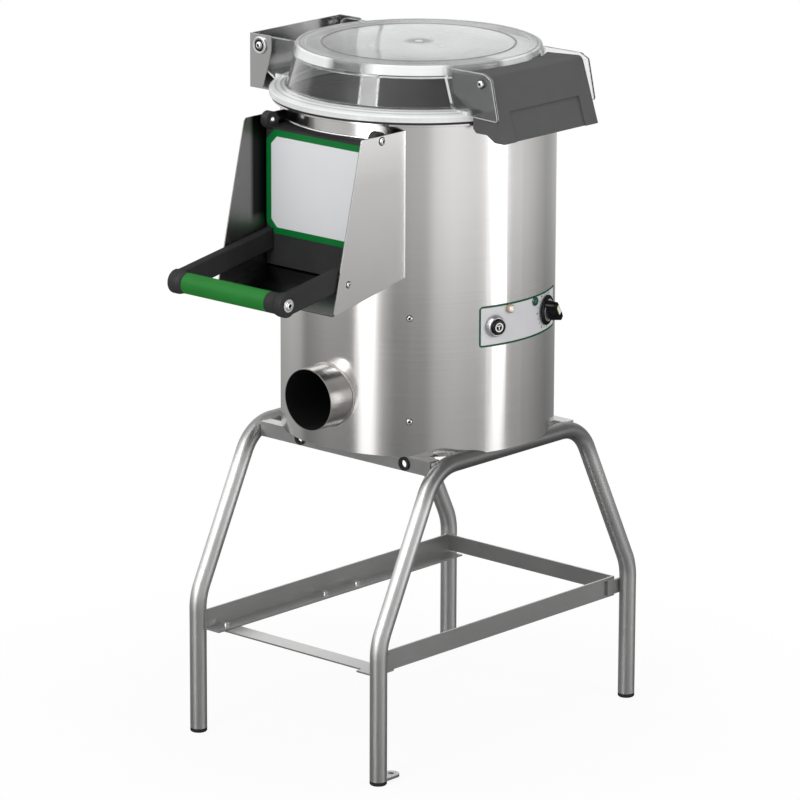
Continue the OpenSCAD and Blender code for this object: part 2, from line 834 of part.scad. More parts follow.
module lower_rail_rear() {
    color("darkgray") place() xz(rail_back - rail_t, rail_back)
        translate([-side_in + rail_t, rail_z + rail_leg - rear_rail_h])
            square([2 * (side_in - rail_t), rear_rail_h]);
}

module lower_rail_front() {
    color("darkgray") place() difference() {
        translate([-side_in, -rail_front, rail_z - rail_t])
            cube([2 * side_in, rail_leg, rail_t]);
        for (s = [-1, 1]) translate([s * rail_bolt_x, -rail_front + rail_leg / 2,
            rail_z - rail_t - over]) cylinder(r = small_shank_d / 2 + fit, h = rail_t + 2 * over);
    }
}

// Flat tabs that join the rail ends to the legs
module rail_corner_tabs() {
    color("dimgray") place() difference() {
        for (s = [-1, 1]) {
            x0 = s > 0 ? side_in : -side_in - tab_t;
            yz(x0, x0 + tab_t) translate([-foot_y - stand_shift, rail_z + tab_t])
                square([tab_len, rail_leg - 2 * tab_t]);
            yz(x0, x0 + tab_t) translate([foot_y - stand_shift - tab_len, rail_z + tab_t])
                square([tab_len, rail_leg - 2 * tab_t]);
        }
        for (x = [-side_x, side_x], y = [-foot_y, foot_y]) translate([x, y - stand_shift, 0])
            cylinder(r = tube_r + fit, h = knee_h);
    }
}

// Bolts of the front rail and of the flanges
module rail_bolts() {
    color("lightgray") place() for (s = [-1, 1]) {
        translate([s * rail_bolt_x, -rail_front + rail_leg / 2, rail_z - rail_t - rail_bolt_h])
            bolt(2 * rail_t);
        for (y = [-rail_bolt_gap, rail_bolt_gap])
            translate([s * rail_bolt_x, y, rail_z - rail_bolt_h]) bolt(rail_t);
    }
}

// A hexagon nut below, a round head above and a shank through the sheets between them
module bolt(grip) {
    cylinder(r = rail_bolt_d / 2, h = rail_bolt_h, $fn = 6);
    cylinder(r = small_shank_d / 2, h = grip + 2 * rail_bolt_h);
    translate([0, 0, grip + rail_bolt_h]) cylinder(r = rail_bolt_d / 2, h = rail_bolt_h);
}

// Sheet rail under the drum with a flange along its top; y is its outer face
module cross_rail(holes) {
    difference() {
        union() {
            xz(-cross_y, -cross_y + cross_t) translate([-side_in, drum_z - cross_h])
                square([2 * side_in, cross_h]);
            xz(-cross_y, -cross_y + cross_flange) translate([-side_in, drum_z - cross_t])
                square([2 * side_in, cross_t]);
        }
        for (x = holes) translate([x, 0, drum_z - cross_h / 2])
            y_rod(cross_hole_d / 2, -cross_y - over, -cross_y + cross_t + over);
    }
}

cross_holes = [cross_hole_x - cross_hole_gap / 2, cross_hole_x + cross_hole_gap / 2];

module front_cross_rail() {
    color("silver") place() cross_rail(cross_holes);
}

module rear_cross_rail() {
    color("silver") place() mirror([0, 1, 0]) cross_rail([]);
}

// Rubber grommets in the holes of the front cross rail
module rail_grommets() {
    color("black") place() for (x = cross_holes) translate([x, 0, drum_z - cross_h / 2])
        difference() {
            union() {
                y_rod(cross_hole_d / 2 - fit, -cross_y - cross_t, -cross_y + cross_t);
                y_rod((cross_h - cross_t) / 2, -cross_y - cross_t, -cross_y);
            }
            y_rod(grommet_bore / 2, -cross_y - cross_t - over, -cross_y + cross_t + over);
        }
}

// Drum wall with its turned-out rim and all its openings
module drum_shell() {
    color("lightgray") place() difference() {
        rotate_extrude() polygon([[drum_in, drum_z], [drum_r, drum_z],
            [drum_r, top_z - drum_wall], [rim_r - drum_wall, top_z - drum_wall],
            [rim_r - drum_wall, top_z - rim_lip], [rim_r, top_z - rim_lip], [rim_r, top_z],
            [drum_in, top_z]]);
        top_rods();
        door_cut();
        translate([outlet_x, 0, drain_z]) y_rod(drain_in + fit, -drum_r - over, -trim_r);
        on_wall(button_a, button_z) wall_rod(button_stem_d / 2 + gap, trim_r, drum_r + over);
        on_wall(power_lamp_a, lamp_z) wall_rod(lamp_neck_r + fit, trim_r, drum_r + over);
        on_wall(run_lamp_a, lamp_z) wall_rod(lamp_neck_r + fit, trim_r, drum_r + over);
        on_wall(knob_a, knob_z) wall_rod(knob_shaft_d / 2 + gap, trim_r, drum_r + over);
        on_wall(inlet_a, inlet_z) wall_rod(inlet_d / 2 + fit, trim_r, drum_r + over);
        on_wall(gland_a, gland_z) wall_rod(gland_d / 2 + fit, trim_r, drum_r + over);
        for (a = screw_angles, z = screw_heights) on_wall(a, z)
            wall_rod(small_shank_d / 2 + fit, trim_r, drum_r + over);
    }
}

// The opening behind the door, cut through the wall and the liner
module door_cut() {
    translate([outlet_x - opening_w / 2, -drum_r - over, opening_z])
        cube([opening_w, drum_r + over - trim_r, top_z - opening_drop - opening_z]);
}

// Small screws of the drum wall and of the chute cheeks
module wall_screws() {
    color("lightgray") place() {
        for (a = screw_angles, z = screw_heights) on_wall(a, z) {
            wall_rod(small_shank_d / 2, drum_in - wall_screw_in, drum_r + small_head_h / 2);
            wall_rod(small_head_d / 2, drum_r, drum_r + small_head_h);
        }
        for (s = [0, 1]) translate([outlet_x, -cheek_screw_y, cheek_screw_z])
            mirror([s, 0, 0]) {
                x_rod(small_shank_d / 2, cheek_x, cheek_x + chute_t);
                x_rod(small_head_d / 2, cheek_x + chute_t, cheek_x + chute_t + small_head_h);
            }
    }
}

module rim_gasket() {
    color("black") place() translate([0, 0, top_z]) ring(rim_r + over, drum_in, gasket_t);
}

module abrasive_liner() {
    color("gray") place() difference() {
        translate([0, 0, liner_z]) ring(liner_r, liner_in, liner_h);
        door_cut();
        on_wall(inlet_a, inlet_z) wall_rod(inlet_d / 2 + fit, trim_r, drum_r);
    }
}

// Floor of the chamber under the disc, with the drain hole
module chamber_floor() {
    color("silver") place() difference() {
        translate([0, 0, pan_z]) ring(drum_in - fit, shaft_r + gap, pan_t);
        translate([outlet_x, -drain_y, pan_z - over])
            cylinder(r = drain_r - drain_wall, h = pan_t + 2 * over);
    }
}

// Closing plate under the drum, cut back at the top tubes
module base_plate() {
    color("silver") place() difference() {
        translate([0, 0, drum_z]) cylinder(r = drum_in - fit, h = base_t);
        top_rods();
        for (s = [-1, 1]) translate([s > 0 ? side_x : -side_x - drum_r, -drum_r, drum_z - over])
            cube([drum_r, drum_d, base_t + 2 * over]);
    }
}

// Plate that carries the bearing housing and the motor
module machine_plate() {
    color("silver") place() difference() {
        translate([0, 0, machine_z]) ring(drum_in - fit, bearing_r - bearing_step, machine_t);
        translate([-drum_r, -drum_r - machine_front, machine_z - over])
            cube([drum_d, drum_r, machine_t + 2 * over]);
        translate([0, drive_centres, machine_z - over])
            cylinder(r = motor_shaft_r + gap, h = machine_t + 2 * over);
    }
}

module bearing_housing() {
    color("dimgray") place() rotate_extrude() polygon([
        [bearing_r + fit, plate_top], [housing_flange_d / 2, plate_top],
        [housing_flange_d / 2, plate_top + housing_flange_t],
        [housing_d / 2, plate_top + housing_flange_t], [housing_d / 2, housing_top],
        [bearing_r + fit, housing_top], [bearing_r + fit, housing_top - bearing_w],
        [bearing_r - bearing_step, housing_top - bearing_w],
        [bearing_r - bearing_step, plate_top + bearing_w],
        [bearing_r + fit, plate_top + bearing_w]]);
}

module bearings() {
    color("lightgray") place() for (z = [plate_top, housing_top - bearing_w])
        translate([0, 0, z]) ring(bearing_r, shaft_r + fit, bearing_w);
}

module shaft_seal() {
    color("black") place() translate([0, 0, housing_top])
        ring(seal_d / 2, shaft_r + fit, seal_h);
}

// Motor standing on the machine plate, with a narrower end cap
module motor_body() {
    color("gray") place() translate([0, drive_centres, plate_top]) difference() {
        union() {
            cylinder(r = motor_d / 2, h = motor_h - motor_cap_h);
            cylinder(r = motor_d / 2 - motor_step, h = motor_h);
        }
        translate([0, 0, -over]) cylinder(r = motor_shaft_r + fit, h = motor_h / 2);
    }
}

// Path of a loop round both pulleys, in small straight steps
function belt_path(r0, r1) = let (a = asin((r0 - r1) / drive_centres)) concat(
    [for (i = [0:belt_steps]) let (t = 180 - a + (180 + 2 * a) * i / belt_steps)
        r0 * [cos(t), sin(t)]],
    [for (i = [0:belt_steps]) let (t = a + (180 - 2 * a) * i / belt_steps)
        [0, drive_centres] + r1 * [cos(t), sin(t)]]);

module drive_belt() {
    color("black") place() translate([0, 0, pulley_z + (pulley_h - belt_w) / 2])
        linear_extrude(belt_w) difference() {
            polygon(belt_path(groove_r + gap + belt_t, motor_groove_r + gap + belt_t));
            polygon(belt_path(groove_r + gap, motor_groove_r + gap));
        }
}

// A grooved pulley
module pulley(r, deep) {
    rotate_extrude() polygon([[0, 0], [r, 0], [r, groove_edge], [r - deep, groove_edge],
        [r - deep, pulley_h - groove_edge], [r, pulley_h - groove_edge], [r, pulley_h],
        [0, pulley_h]]);
}

// Round bend from the chamber floor to the drain mouth
module drain_duct() {
    color("silver") place() difference() {
        union() {
            drain_body(drain_in, 0);
            translate([outlet_x, 0, drain_z])
                y_rod(drain_r, -drain_mouth, -drum_r - 2 * drain_step);
        }
        drain_body(drain_r - drain_wall, over);
    }
}

module drain_body(r, extra) {
    translate([outlet_x, -drain_y, drain_z]) {
        sphere(r);
        cylinder(r = r, h = pan_z - drain_z + extra);
    }
    translate([outlet_x, 0, drain_z]) y_rod(r, -drain_mouth - extra, -drain_y);
}

// Height of the underside of the chute floor
function under_floor(y) = floor_z - (-y - floor_back) * tan(floor_a);

module chute_cheeks() {
    color("silver") place() difference() {
        for (s = [-1, 1]) {
            x0 = outlet_x + (s > 0 ? cheek_x : -cheek_x - chute_t);
            yz(x0, x0 + chute_t) polygon(rounded([[-cheek_top_y, cheek_z], [-trim_r, cheek_z],
                [-trim_r, under_floor(-trim_r)], [-cheek_low_y, floor_z - floor_fall]],
                [cheek_corner, 0, 0, cheek_corner]));
        }
        cylinder(r = drum_r, h = top_z);
        cheek_holes();
    }
}

module cheek_holes() {
    x0 = outlet_x - cheek_x - chute_t - over;
    x1 = outlet_x + cheek_x + chute_t + over;
    translate([0, -door_y, pivot_z]) x_rod(pivot_r + fit, x0, x1);
    translate([0, -cheek_screw_y, cheek_screw_z])
        x_rod(small_shank_d / 2 + fit, x0, x1);
}

module chute_floor() {
    color("silver") place() difference() {
        yz(outlet_x - cheek_x, outlet_x + cheek_x) polygon([
            [-cheek_low_y, under_floor(-cheek_low_y)], [-trim_r, under_floor(-trim_r)],
            [-trim_r, under_floor(-trim_r) + floor_t],
            [-cheek_low_y, under_floor(-cheek_low_y) + floor_t]]);
        cylinder(r = drum_r, h = top_z);
    }
}

// Pins with outer heads that carry the door between the cheeks
module door_pins() {
    color("lightgray") place() for (s = [0, 1]) translate([outlet_x, 0, 0])
        mirror([s, 0, 0]) translate([0, -door_y, pivot_z]) {
            x_rod(pivot_r, door_half - pivot_ear_w, cheek_x + chute_t);
            x_rod(screw_head_d / 2, cheek_x + chute_t, cheek_x + chute_t + screw_head_h);
        }
}

// Sheet channel behind the lid, welded to the drum wall
module hinge_bracket() {
    flange = [[-bracket_x, bracket_z + bracket_h], [-bracket_x + bracket_top_w, bracket_z + bracket_h],
        [-bracket_x + bracket_mid_w, bracket_z + bracket_h - bracket_mid_drop],
        [-bracket_x + bracket_foot_w, bracket_z], [-bracket_x, bracket_z]];
    color("silver") place() difference() {
        union() {
            for (y = [-bracket_half, bracket_half - bracket_t]) xz(y, y + bracket_t)
                polygon(rounded(flange, [0, bracket_t, bracket_t, bracket_t, 0]));
            translate([-bracket_x, -bracket_half, bracket_z])
                cube([bracket_t, 2 * bracket_half, bracket_h]);
            translate([-bracket_x, -bracket_half, bracket_z])
                cube([bracket_x - trim_r, 2 * bracket_half, bracket_t]);
        }
        cylinder(r = drum_r, h = top_z);
        translate([-hinge_x, 0, hinge_z]) y_rod(hinge_r + fit, -bracket_half - over, bracket_half + over);
    }
}

module hinge_pins() {
    ear_y = bracket_half - bracket_t - hinge_gap - hinge_ear_t;
    color("lightgray") place() for (s = [0, 1]) mirror([0, s, 0])
        translate([-hinge_x, 0, hinge_z]) {
            y_rod(hinge_r, ear_y, bracket_half);
            y_rod(hinge_bush_d / 2, bracket_half, bracket_half + hinge_bush_h);
            y_rod(small_head_d / 2, bracket_half, bracket_half + hinge_bush_h + small_head_h);
        }
}

module latch_catch() {
    color("silver") place() difference() {
        translate([trim_r, -catch_half, top_z - catch_drop - catch_t])
            cube([rim_r + catch_out - trim_r, 2 * catch_half, catch_t]);
        cylinder(r = drum_r, h = top_z);
    }
}

// A rounded rectangle bent round the drum wall
module panel_patch() {
    c = panel_corner;
    rotate([0, 0, panel_mid]) intersection() {
        translate([0, 0, panel_z]) ring(panel_r, drum_r + fit, panel_h);
        yz(trim_r, panel_r + over) translate([0, panel_z + panel_h / 2])
            polygon(rounded(box_path(2 * panel_half, panel_h), [c, c, c, c]));
    }
}

module control_holes() {
    on_wall(button_a, button_z) wall_rod(button_stem_d / 2 + gap, trim_r, rim_r);
    on_wall(power_lamp_a, lamp_z) wall_rod(lamp_neck_r + fit, trim_r, rim_r);
    on_wall(run_lamp_a, lamp_z) wall_rod(lamp_neck_r + fit, trim_r, rim_r);
    on_wall(knob_a, knob_z) wall_rod(knob_shaft_d / 2 + gap, trim_r, rim_r);
}

module control_panel() {
    color("whitesmoke") place() difference() {
        panel_patch();
        control_holes();
    }
}

// Round bezel whose back follows the panel
module button_bezel() {
    color("lightgray") place() difference() {
        on_wall(button_a, button_z) wall_rod(bezel_d / 2, trim_r, panel_r + bezel_h);
        translate([0, 0, drum_z]) cylinder(r = panel_r, h = drum_h);
        on_wall(button_a, button_z) wall_rod(button_d / 2 + fit, trim_r, panel_r + bezel_h + over);
    }
}

module start_button() {
    color("white") place() on_wall(button_a, button_z) {
        wall_rod(button_stem_d / 2, button_deep, button_back);
        wall_rod(button_d / 2, button_back, panel_r + bezel_h + button_out);
    }
}

// Lamp with a collar outside the panel and a neck through the wall
module pilot_lamp(a, out) {
    difference() {
        on_wall(a, lamp_z) wall_rod(lamp_d / 2, trim_r, panel_r + out);
        translate([0, 0, drum_z]) cylinder(r = panel_r, h = drum_h);
    }
    on_wall(a, lamp_z) wall_rod(lamp_neck_r, drum_in - wall_screw_in, panel_r + out / 2);
}

module pilot_lamp_power() {
    color("beige") place() pilot_lamp(power_lamp_a, power_lamp_out);
}

module pilot_lamp_run() {
    color("green") place() pilot_lamp(run_lamp_a, run_lamp_out);
}

// A switch block behind the wall with a bore towards the panel
module switch_block(a, z, bore) {
    on_wall(a, z) difference() {
        translate([-block_w / 2, -block_w / 2, block_front - block_depth])
            cube([block_w, block_w, block_depth]);
        wall_rod(bore + fit, button_deep - button_travel - gap, block_front + over);
    }
}

module timer_body() {
    color("ivory") place() switch_block(knob_a, knob_z, knob_shaft_d / 2);
}

module contact_block() {
    color("ivory") place() switch_block(button_a, button_z, button_stem_d / 2);
}

module junction_box() {
    color("gray") place() difference() {
        on_wall(gland_a, gland_z) translate([-box_h / 2, -box_w / 2, box_front - block_depth])
            cube([box_h, box_w, block_depth]);
        on_wall(gland_a, gland_z) wall_rod(gland_bore / 2, box_front - wall_deep, drum_r);
    }
}

module lid_switch() {
    color("black") place() translate([-bracket_x + bracket_t, switch_y, bracket_z + bracket_t])
        cube([switch_w, switch_len, switch_h]);
}

// Threaded pipe with a hexagon collar on the wall
module water_inlet() {
    color("silver") place() difference() {
        union() {
            on_wall(inlet_a, inlet_z) wall_rod(inlet_d / 2, trim_r, drum_r + inlet_len);
            on_wall(inlet_a, inlet_z) translate([0, 0, trim_r])
                cylinder(r = hex_d / 2, h = drum_r - trim_r + hex_t, $fn = 6);
        }
        intersection() {
            translate([0, 0, drum_z]) cylinder(r = drum_r, h = drum_h);
            difference() {
                on_wall(inlet_a, inlet_z) wall_rod(hex_d, trim_r - over, drum_r + over);
                on_wall(inlet_a, inlet_z) wall_rod(inlet_d / 2, trim_r - over, drum_r + 2 * over);
            }
        }
        translate([0, 0, drum_z]) cylinder(r = liner_in, h = drum_h);
        on_wall(inlet_a, inlet_z) wall_rod(inlet_bore / 2, trim_r - over, drum_r + inlet_len + over);
    }
}

module cable_gland() {
    color("dimgray") place() difference() {
        union() {
            on_wall(gland_a, gland_z) wall_rod(gland_d / 2, box_front, drum_r + gland_len);
            on_wall(gland_a, gland_z) translate([0, 0, drum_r])
                cylinder(r = hex_d / 2, h = hex_t, $fn = 6);
        }
        on_wall(gland_a, gland_z)
            wall_rod(gland_bore / 2, box_front - over, drum_r + gland_len + over);
    }
}

// Turning disc with raised waves on its top
module abrasive_disc() {
    color("gray") place() difference() {
        union() {
            translate([0, 0, disc_z]) cylinder(r = disc_d / 2, h = disc_t);
            for (i = [0:wave_count - 1]) rotate([0, 0, i * 360 / wave_count])
                intersection() {
                    translate([0, 0, disc_top + wave_h - wave_r])
                        x_rod(wave_r, cap_nut_d, disc_d / 2 - wave_h);
                    translate([0, -wave_w, disc_z]) cube([disc_d, 2 * wave_w, disc_t + 2 * wave_h]);
                }
        }
        translate([0, 0, disc_z - over]) cylinder(r = shaft_r + fit, h = disc_t + 2 * over);
    }
}

// Cap nut that holds the disc on its shaft
module disc_nut() {
    color("silver") place() translate([0, 0, disc_top]) difference() {
        union() {
            cylinder(r = cap_nut_d / 2, h = cap_nut_h / 2);
            cylinder(r = cap_nut_d / 4, h = cap_nut_h, $fn = 6);
        }
        translate([0, 0, -over]) cylinder(r = shaft_r + fit, h = shaft_out + over);
    }
}

module main_shaft() {
    color("silver") place() translate([0, 0, pulley_z + pulley_h])
        cylinder(r = shaft_r, h = disc_top + shaft_out - fit - pulley_z - pulley_h);
}

module big_pulley() {
    color("dimgray") place() translate([0, 0, pulley_z]) pulley(pulley_d / 2, groove_depth);
}

module motor_rotor() {
    color("dimgray") place() translate([0, drive_centres, pulley_z]) {
        pulley(motor_collar_r, groove_depth);
        cylinder(r = motor_shaft_r, h = plate_top - pulley_z + motor_h / 2 - 2 * over);
    }
}

// Outside of the lid turned round the drum axis
module lid_outside() {
    rotate_extrude() polygon(concat([[0, lid_z], [lid_flange_r, lid_z],
        [lid_flange_r, lid_z + lid_band_h - lid_bevel],
        [lid_flange_r - lid_bevel, lid_z + lid_band_h],
        [lid_base_r + lid_fillet, lid_z + lid_flange_h],
        [lid_base_r, lid_z + lid_flange_h + lid_fillet / 2],
        [lid_top_r + lid_bead / 2, rim_z - lid_bead_h],
        [lid_top_r + lid_bead, rim_z - lid_bead_h + lid_bead / 4],
        [lid_top_r + lid_bead, rim_z - lid_bead / 2]],
        arc_at([lid_top_r, rim_z], [lid_top_r, lid_top], [0, lid_top], lid_edge_r),
        [[lid_top_r - lid_groove_in, lid_top], [lid_top_r - lid_groove_in, lid_top - lid_groove],
        [lid_top_r - lid_groove_in - lid_groove, lid_top - lid_groove],
        [lid_top_r - lid_groove_in - lid_groove, lid_top], [lid_disc_r, lid_top],
        [lid_disc_r, lid_top - lid_groove], [lid_disc_r - 2 * lid_groove, lid_top - lid_groove]],
        [for (i = [bend_steps:-1:0]) let (q = i / bend_steps)
            [(lid_disc_r - 2 * lid_groove) * q, lid_top + lid_crown * (1 - pow(q, 2))]]));
}

// Hollow of the lid
module lid_inside() {
    rotate_extrude() polygon([[0, lid_z - over], [lid_base_r + lid_fillet, lid_z - over],
        [lid_base_r + lid_fillet, lid_z + lid_flange_h - lid_t - lid_bevel],
        [lid_base_r - lid_t + lid_bead / 2, lid_z + lid_flange_h - lid_t / 2],
        [lid_base_r - lid_t, lid_z + lid_flange_h + lid_fillet / 2],
        [lid_top_r - lid_t, rim_z], [lid_top_r - lid_t, lid_top - lid_t], [0, lid_top - lid_t]]);
}

// Outline of a latch ear in X and Z
module latch_ear() {
    polygon(rounded([[trim_r, lid_z + lid_flange_h], [trim_r, latch_z + ear_up],
        [latch_x + ear_shoulder, latch_z + ear_up], [latch_x + ear_brow, latch_z + ear_brow_h],
        [latch_x + ear_jaw, latch_z - ear_jaw_h], [latch_x - ear_jaw, latch_z - ear_jaw_h + lid_bevel]],
        [0, 0, ear_shoulder, ear_shoulder, ear_brow_h / 2, 0]));
}

// Outline of a lid hinge ear in X and Z
module hinge_ear() {
    c = [-hinge_x, hinge_z];
    v = hinge_knee - c;
    a = atan2(v[1], v[0]) - acos(hinge_ear_r / norm(v));
    translate(c) circle(hinge_ear_r);
    polygon([c, c + [0, hinge_ear_r], [-trim_r, hinge_z + hinge_ear_r],
        [-trim_r, lid_z + hinge_foot_h], [-hinge_foot_x, lid_z + hinge_foot_h], hinge_knee,
        c + hinge_ear_r * [cos(a), sin(a)]]);
}

module lid_cover() {
    hinge_y = bracket_half - bracket_t - hinge_gap;
    color("gainsboro", 0.4) place() difference() {
        union() {
            lid_outside();
            for (y = [-latch_half, latch_half - latch_ear_t]) xz(y, y + latch_ear_t) latch_ear();
            for (y = [-hinge_y, hinge_y - hinge_ear_t]) xz(y, y + hinge_ear_t) hinge_ear();
        }
        lid_inside();
        translate([latch_x, 0, latch_z]) y_rod(latch_r + fit, -latch_half - over, latch_half + over);
        translate([-hinge_x, 0, hinge_z]) y_rod(hinge_r + fit, -hinge_y - over, hinge_y + over);
    }
}

module latch_pins() {
    color("lightgray") place() for (s = [0, 1]) mirror([0, s, 0])
        translate([latch_x, 0, latch_z]) {
            y_rod(latch_r, lever_half - lever_wall, latch_half);
            y_rod(screw_head_d / 2, latch_half, latch_half + screw_head_h);
        }
}

// X of the outer face of the lever at a height
function face_x(z) = lever_top_x + (lever_z - z) * tan(face_a);

// Pull lever of the latch: an open housing between the two ears
module latch_lever() {
    heel_low = top_z - lever_sole / 2;
    out = [[lever_back_x, top_z + lever_back_high], [lever_top_x, lever_z],
        [lever_low_x, lever_foot], [lever_lip_x, lever_foot], [lever_toe_x, top_z - lever_sole],
        [lever_foot_x, top_z - lever_sole], [lever_heel_x, heel_low],
        [lever_heel_x, top_z + lever_heel_h], [lever_waist_x, top_z + lever_waist_h],
        [lever_back_x + lever_wall, top_z + lever_back_low]];
    color("dimgray") place() difference() {
        union() {
            difference() {
                xz(-lever_half, lever_half) polygon(rounded(out, [0, 2 * lever_wall, 0,
                    lid_edge_r, lever_wall, lid_edge_r, 0, lid_edge_r, lid_edge_r, lid_edge_r]));
                xz(-lever_half + lever_wall, lever_half - lever_wall) polygon([
                    [trim_r, top_z + lever_back_high - lever_wall],
                    [face_x(lever_z - lever_wall) - face_w, lever_z - lever_wall],
                    [face_x(lever_foot - over) - face_w, lever_foot - over],
                    [trim_r, lever_foot - over]]);
            }
            xz(-nose_half, nose_half) polygon([[rim_r + catch_out + 2 * gap, nose_z],
                [face_x(nose_z) - face_w / 2, nose_z],
                [face_x(nose_z + nose_t) - face_w / 2, nose_z + nose_t],
                [rim_r + catch_out + 2 * gap, nose_z + nose_t]]);
        }
        translate([0, 0, lid_z + lid_flange_h]) cylinder(r = lid_top_r + lever_arc_gap, h = lever_high);
        xz(-recess_half, recess_half) polygon([
            [face_x(lever_foot - over) - recess_depth, lever_foot - over],
            [face_x(lever_foot + recess_h) - recess_depth, lever_foot + recess_h],
            [lever_low_x + face_w, lever_foot + recess_h], [lever_low_x + face_w, lever_foot - over]]);
        translate([latch_x, 0, latch_z]) y_rod(latch_r + fit, -lever_half - over, lever_half + over);
    }
}

// Block of the door between the cheeks, smaller by inset on every closed side
module door_block(inset) {
    low = floor_t + door_gap + inset;
    yz(outlet_x - door_half + inset, outlet_x + door_half - inset) polygon([
        [-door_y + inset, under_floor(-door_y) + low], [-trim_r, under_floor(-trim_r) + low],
        [-trim_r, door_z - inset], [-door_y + inset, door_z - inset]]);
}

module door_panel() {
    color([0.2, 0.2, 0.2]) place() difference() {
        union() {
            difference() {
                door_block(0);
                door_block(door_wall);
                cylinder(r = trim_r + over, h = top_z);
            }
            for (s = [0, 1]) translate([outlet_x, -door_y, pivot_z]) mirror([s, 0, 0]) {
                x_rod(pivot_ear_r, door_half - pivot_ear_w, door_half);
                translate([door_half - pivot_ear_w, 0, door_z - pivot_z - door_wall])
                    cube([pivot_ear_w, pivot_ear_r, pivot_z - door_z + door_wall]);
            }
        }
        cylinder(r = door_back, h = top_z);
        translate([outlet_x, -door_y, pivot_z]) x_rod(pivot_r + fit, -door_half - over, door_half + over);
    }
}

// Seal between the door and the drum wall
module door_gasket() {
    color("black") place() intersection() {
        translate([0, 0, opening_z - drum_r / 4]) ring(door_back, drum_r + gap, drum_r * 2);
        difference() {
            door_block(0);
            door_block(door_wall);
        }
    }
}

// Label plate outline on the door front, smaller by inset
module label_plate(inset) {
    w = 2 * (door_half - label_side - inset);
    h = label_h - 2 * inset;
    difference() {
        xz(-door_y - label_t, -door_y) translate([outlet_x, label_top - label_h / 2])
            polygon(bevel_path(w, h, label_corner - inset / 2));
        arms(gap);
    }
}

module door_label() {
    color("whitesmoke") place() label_plate(label_border);
}

module door_border() {
    color("green") place() difference() {
        label_plate(0);
        xz(-door_y - label_t - over, -door_y + over)
            translate([outlet_x, label_top - label_h / 2])
                polygon(bevel_path(2 * (door_half - label_side - label_border),
                    label_h - 2 * label_border, label_corner - label_border / 2));
    }
}

// Both arms of the door, grown by extra all round
module arms(extra) {
    across = (arm_h / 2 + extra) * [sin(arm_a), cos(arm_a)];
    up = [0, (arm_h / 2 + extra) / cos(arm_a)];
    tip = [-grip_y, grip_z];
    root = [-door_y, arm_root_z];
    for (s = [0, 1]) translate([outlet_x, 0, 0]) mirror([s, 0, 0])
        yz(arm_in - extra, door_half) {
            polygon([tip - [-across[0], across[1]], root - up, root + up, tip + [-across[0], across[1]]]);
            translate(tip) circle(arm_end_d / 2);
        }
}

module door_arms() {
    color([0.3, 0.3, 0.3]) place() difference() {
        arms(0);
        translate([outlet_x, -grip_y, grip_z]) x_rod(rod_r + fit, -door_half - over, door_half + over);
    }
}

module handle_rod() {
    color("black") place() translate([outlet_x, -grip_y, grip_z]) {
        x_rod(rod_r, -door_half, door_half);
        x_rod(grip_d / 2, arm_in - grip_collar, arm_in);
    }
}

module handle_grip() {
    color("forestgreen") place() translate([outlet_x, -grip_y, grip_z]) difference() {
        x_rod(grip_d / 2, -arm_in, arm_in - grip_collar);
        x_rod(rod_r + fit, -arm_in - over, arm_in - grip_collar + over);
    }
}

module handle_screws() {
    color("lightgray") place() for (s = [0, 1]) translate([outlet_x, -grip_y, grip_z])
        mirror([s, 0, 0]) {
            x_rod(washer_d / 2, door_half, door_half + washer_t);
            x_rod(small_head_d / 2, door_half, door_half + washer_t + small_head_h);
        }
}

// Round skirt with a bar grip across it
module timer_knob() {
    color("black") place() on_wall(knob_a, knob_z) {
        wall_rod(knob_skirt_d / 2, knob_base, knob_base + knob_skirt_t);
        intersection() {
            wall_rod(knob_skirt_d / 2 - over, knob_base, knob_base + knob_out);
            translate([-knob_skirt_d, -knob_grip_w / 2, knob_base])
                cube([2 * knob_skirt_d, knob_grip_w, knob_out]);
        }
        wall_rod(knob_shaft_d / 2, block_front - wall_deep, knob_base + knob_skirt_t);
    }
}

stand_frame_left();
stand_frame_right();
foot_caps();
anchor_lug();
lower_rail_left();
lower_rail_right();
lower_rail_rear();
lower_rail_front();
rail_corner_tabs();
rail_bolts();
front_cross_rail();
rear_cross_rail();
rail_grommets();
drum_shell();
wall_screws();
rim_gasket();
abrasive_liner();
chamber_floor();
base_plate();
machine_plate();
bearing_housing();
bearings();
shaft_seal();
motor_body();
drive_belt();
drain_duct();
chute_cheeks();
chute_floor();
door_pins();
hinge_bracket();
hinge_pins();
latch_catch();
control_panel();
button_bezel();
pilot_lamp_power();
pilot_lamp_run();
timer_body();
contact_block();
junction_box();
lid_switch();
water_inlet();
cable_gland();
abrasive_disc();
disc_nut();
main_shaft();
big_pulley();
motor_rotor();
lid_cover();
latch_pins();
latch_lever();
door_panel();
door_label();
door_border();
door_gasket();
door_arms();
handle_rod();
handle_grip();
handle_screws();
timer_knob();
start_button();
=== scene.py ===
import json
import math
import bmesh
import bpy
from mathutils import Matrix, Vector


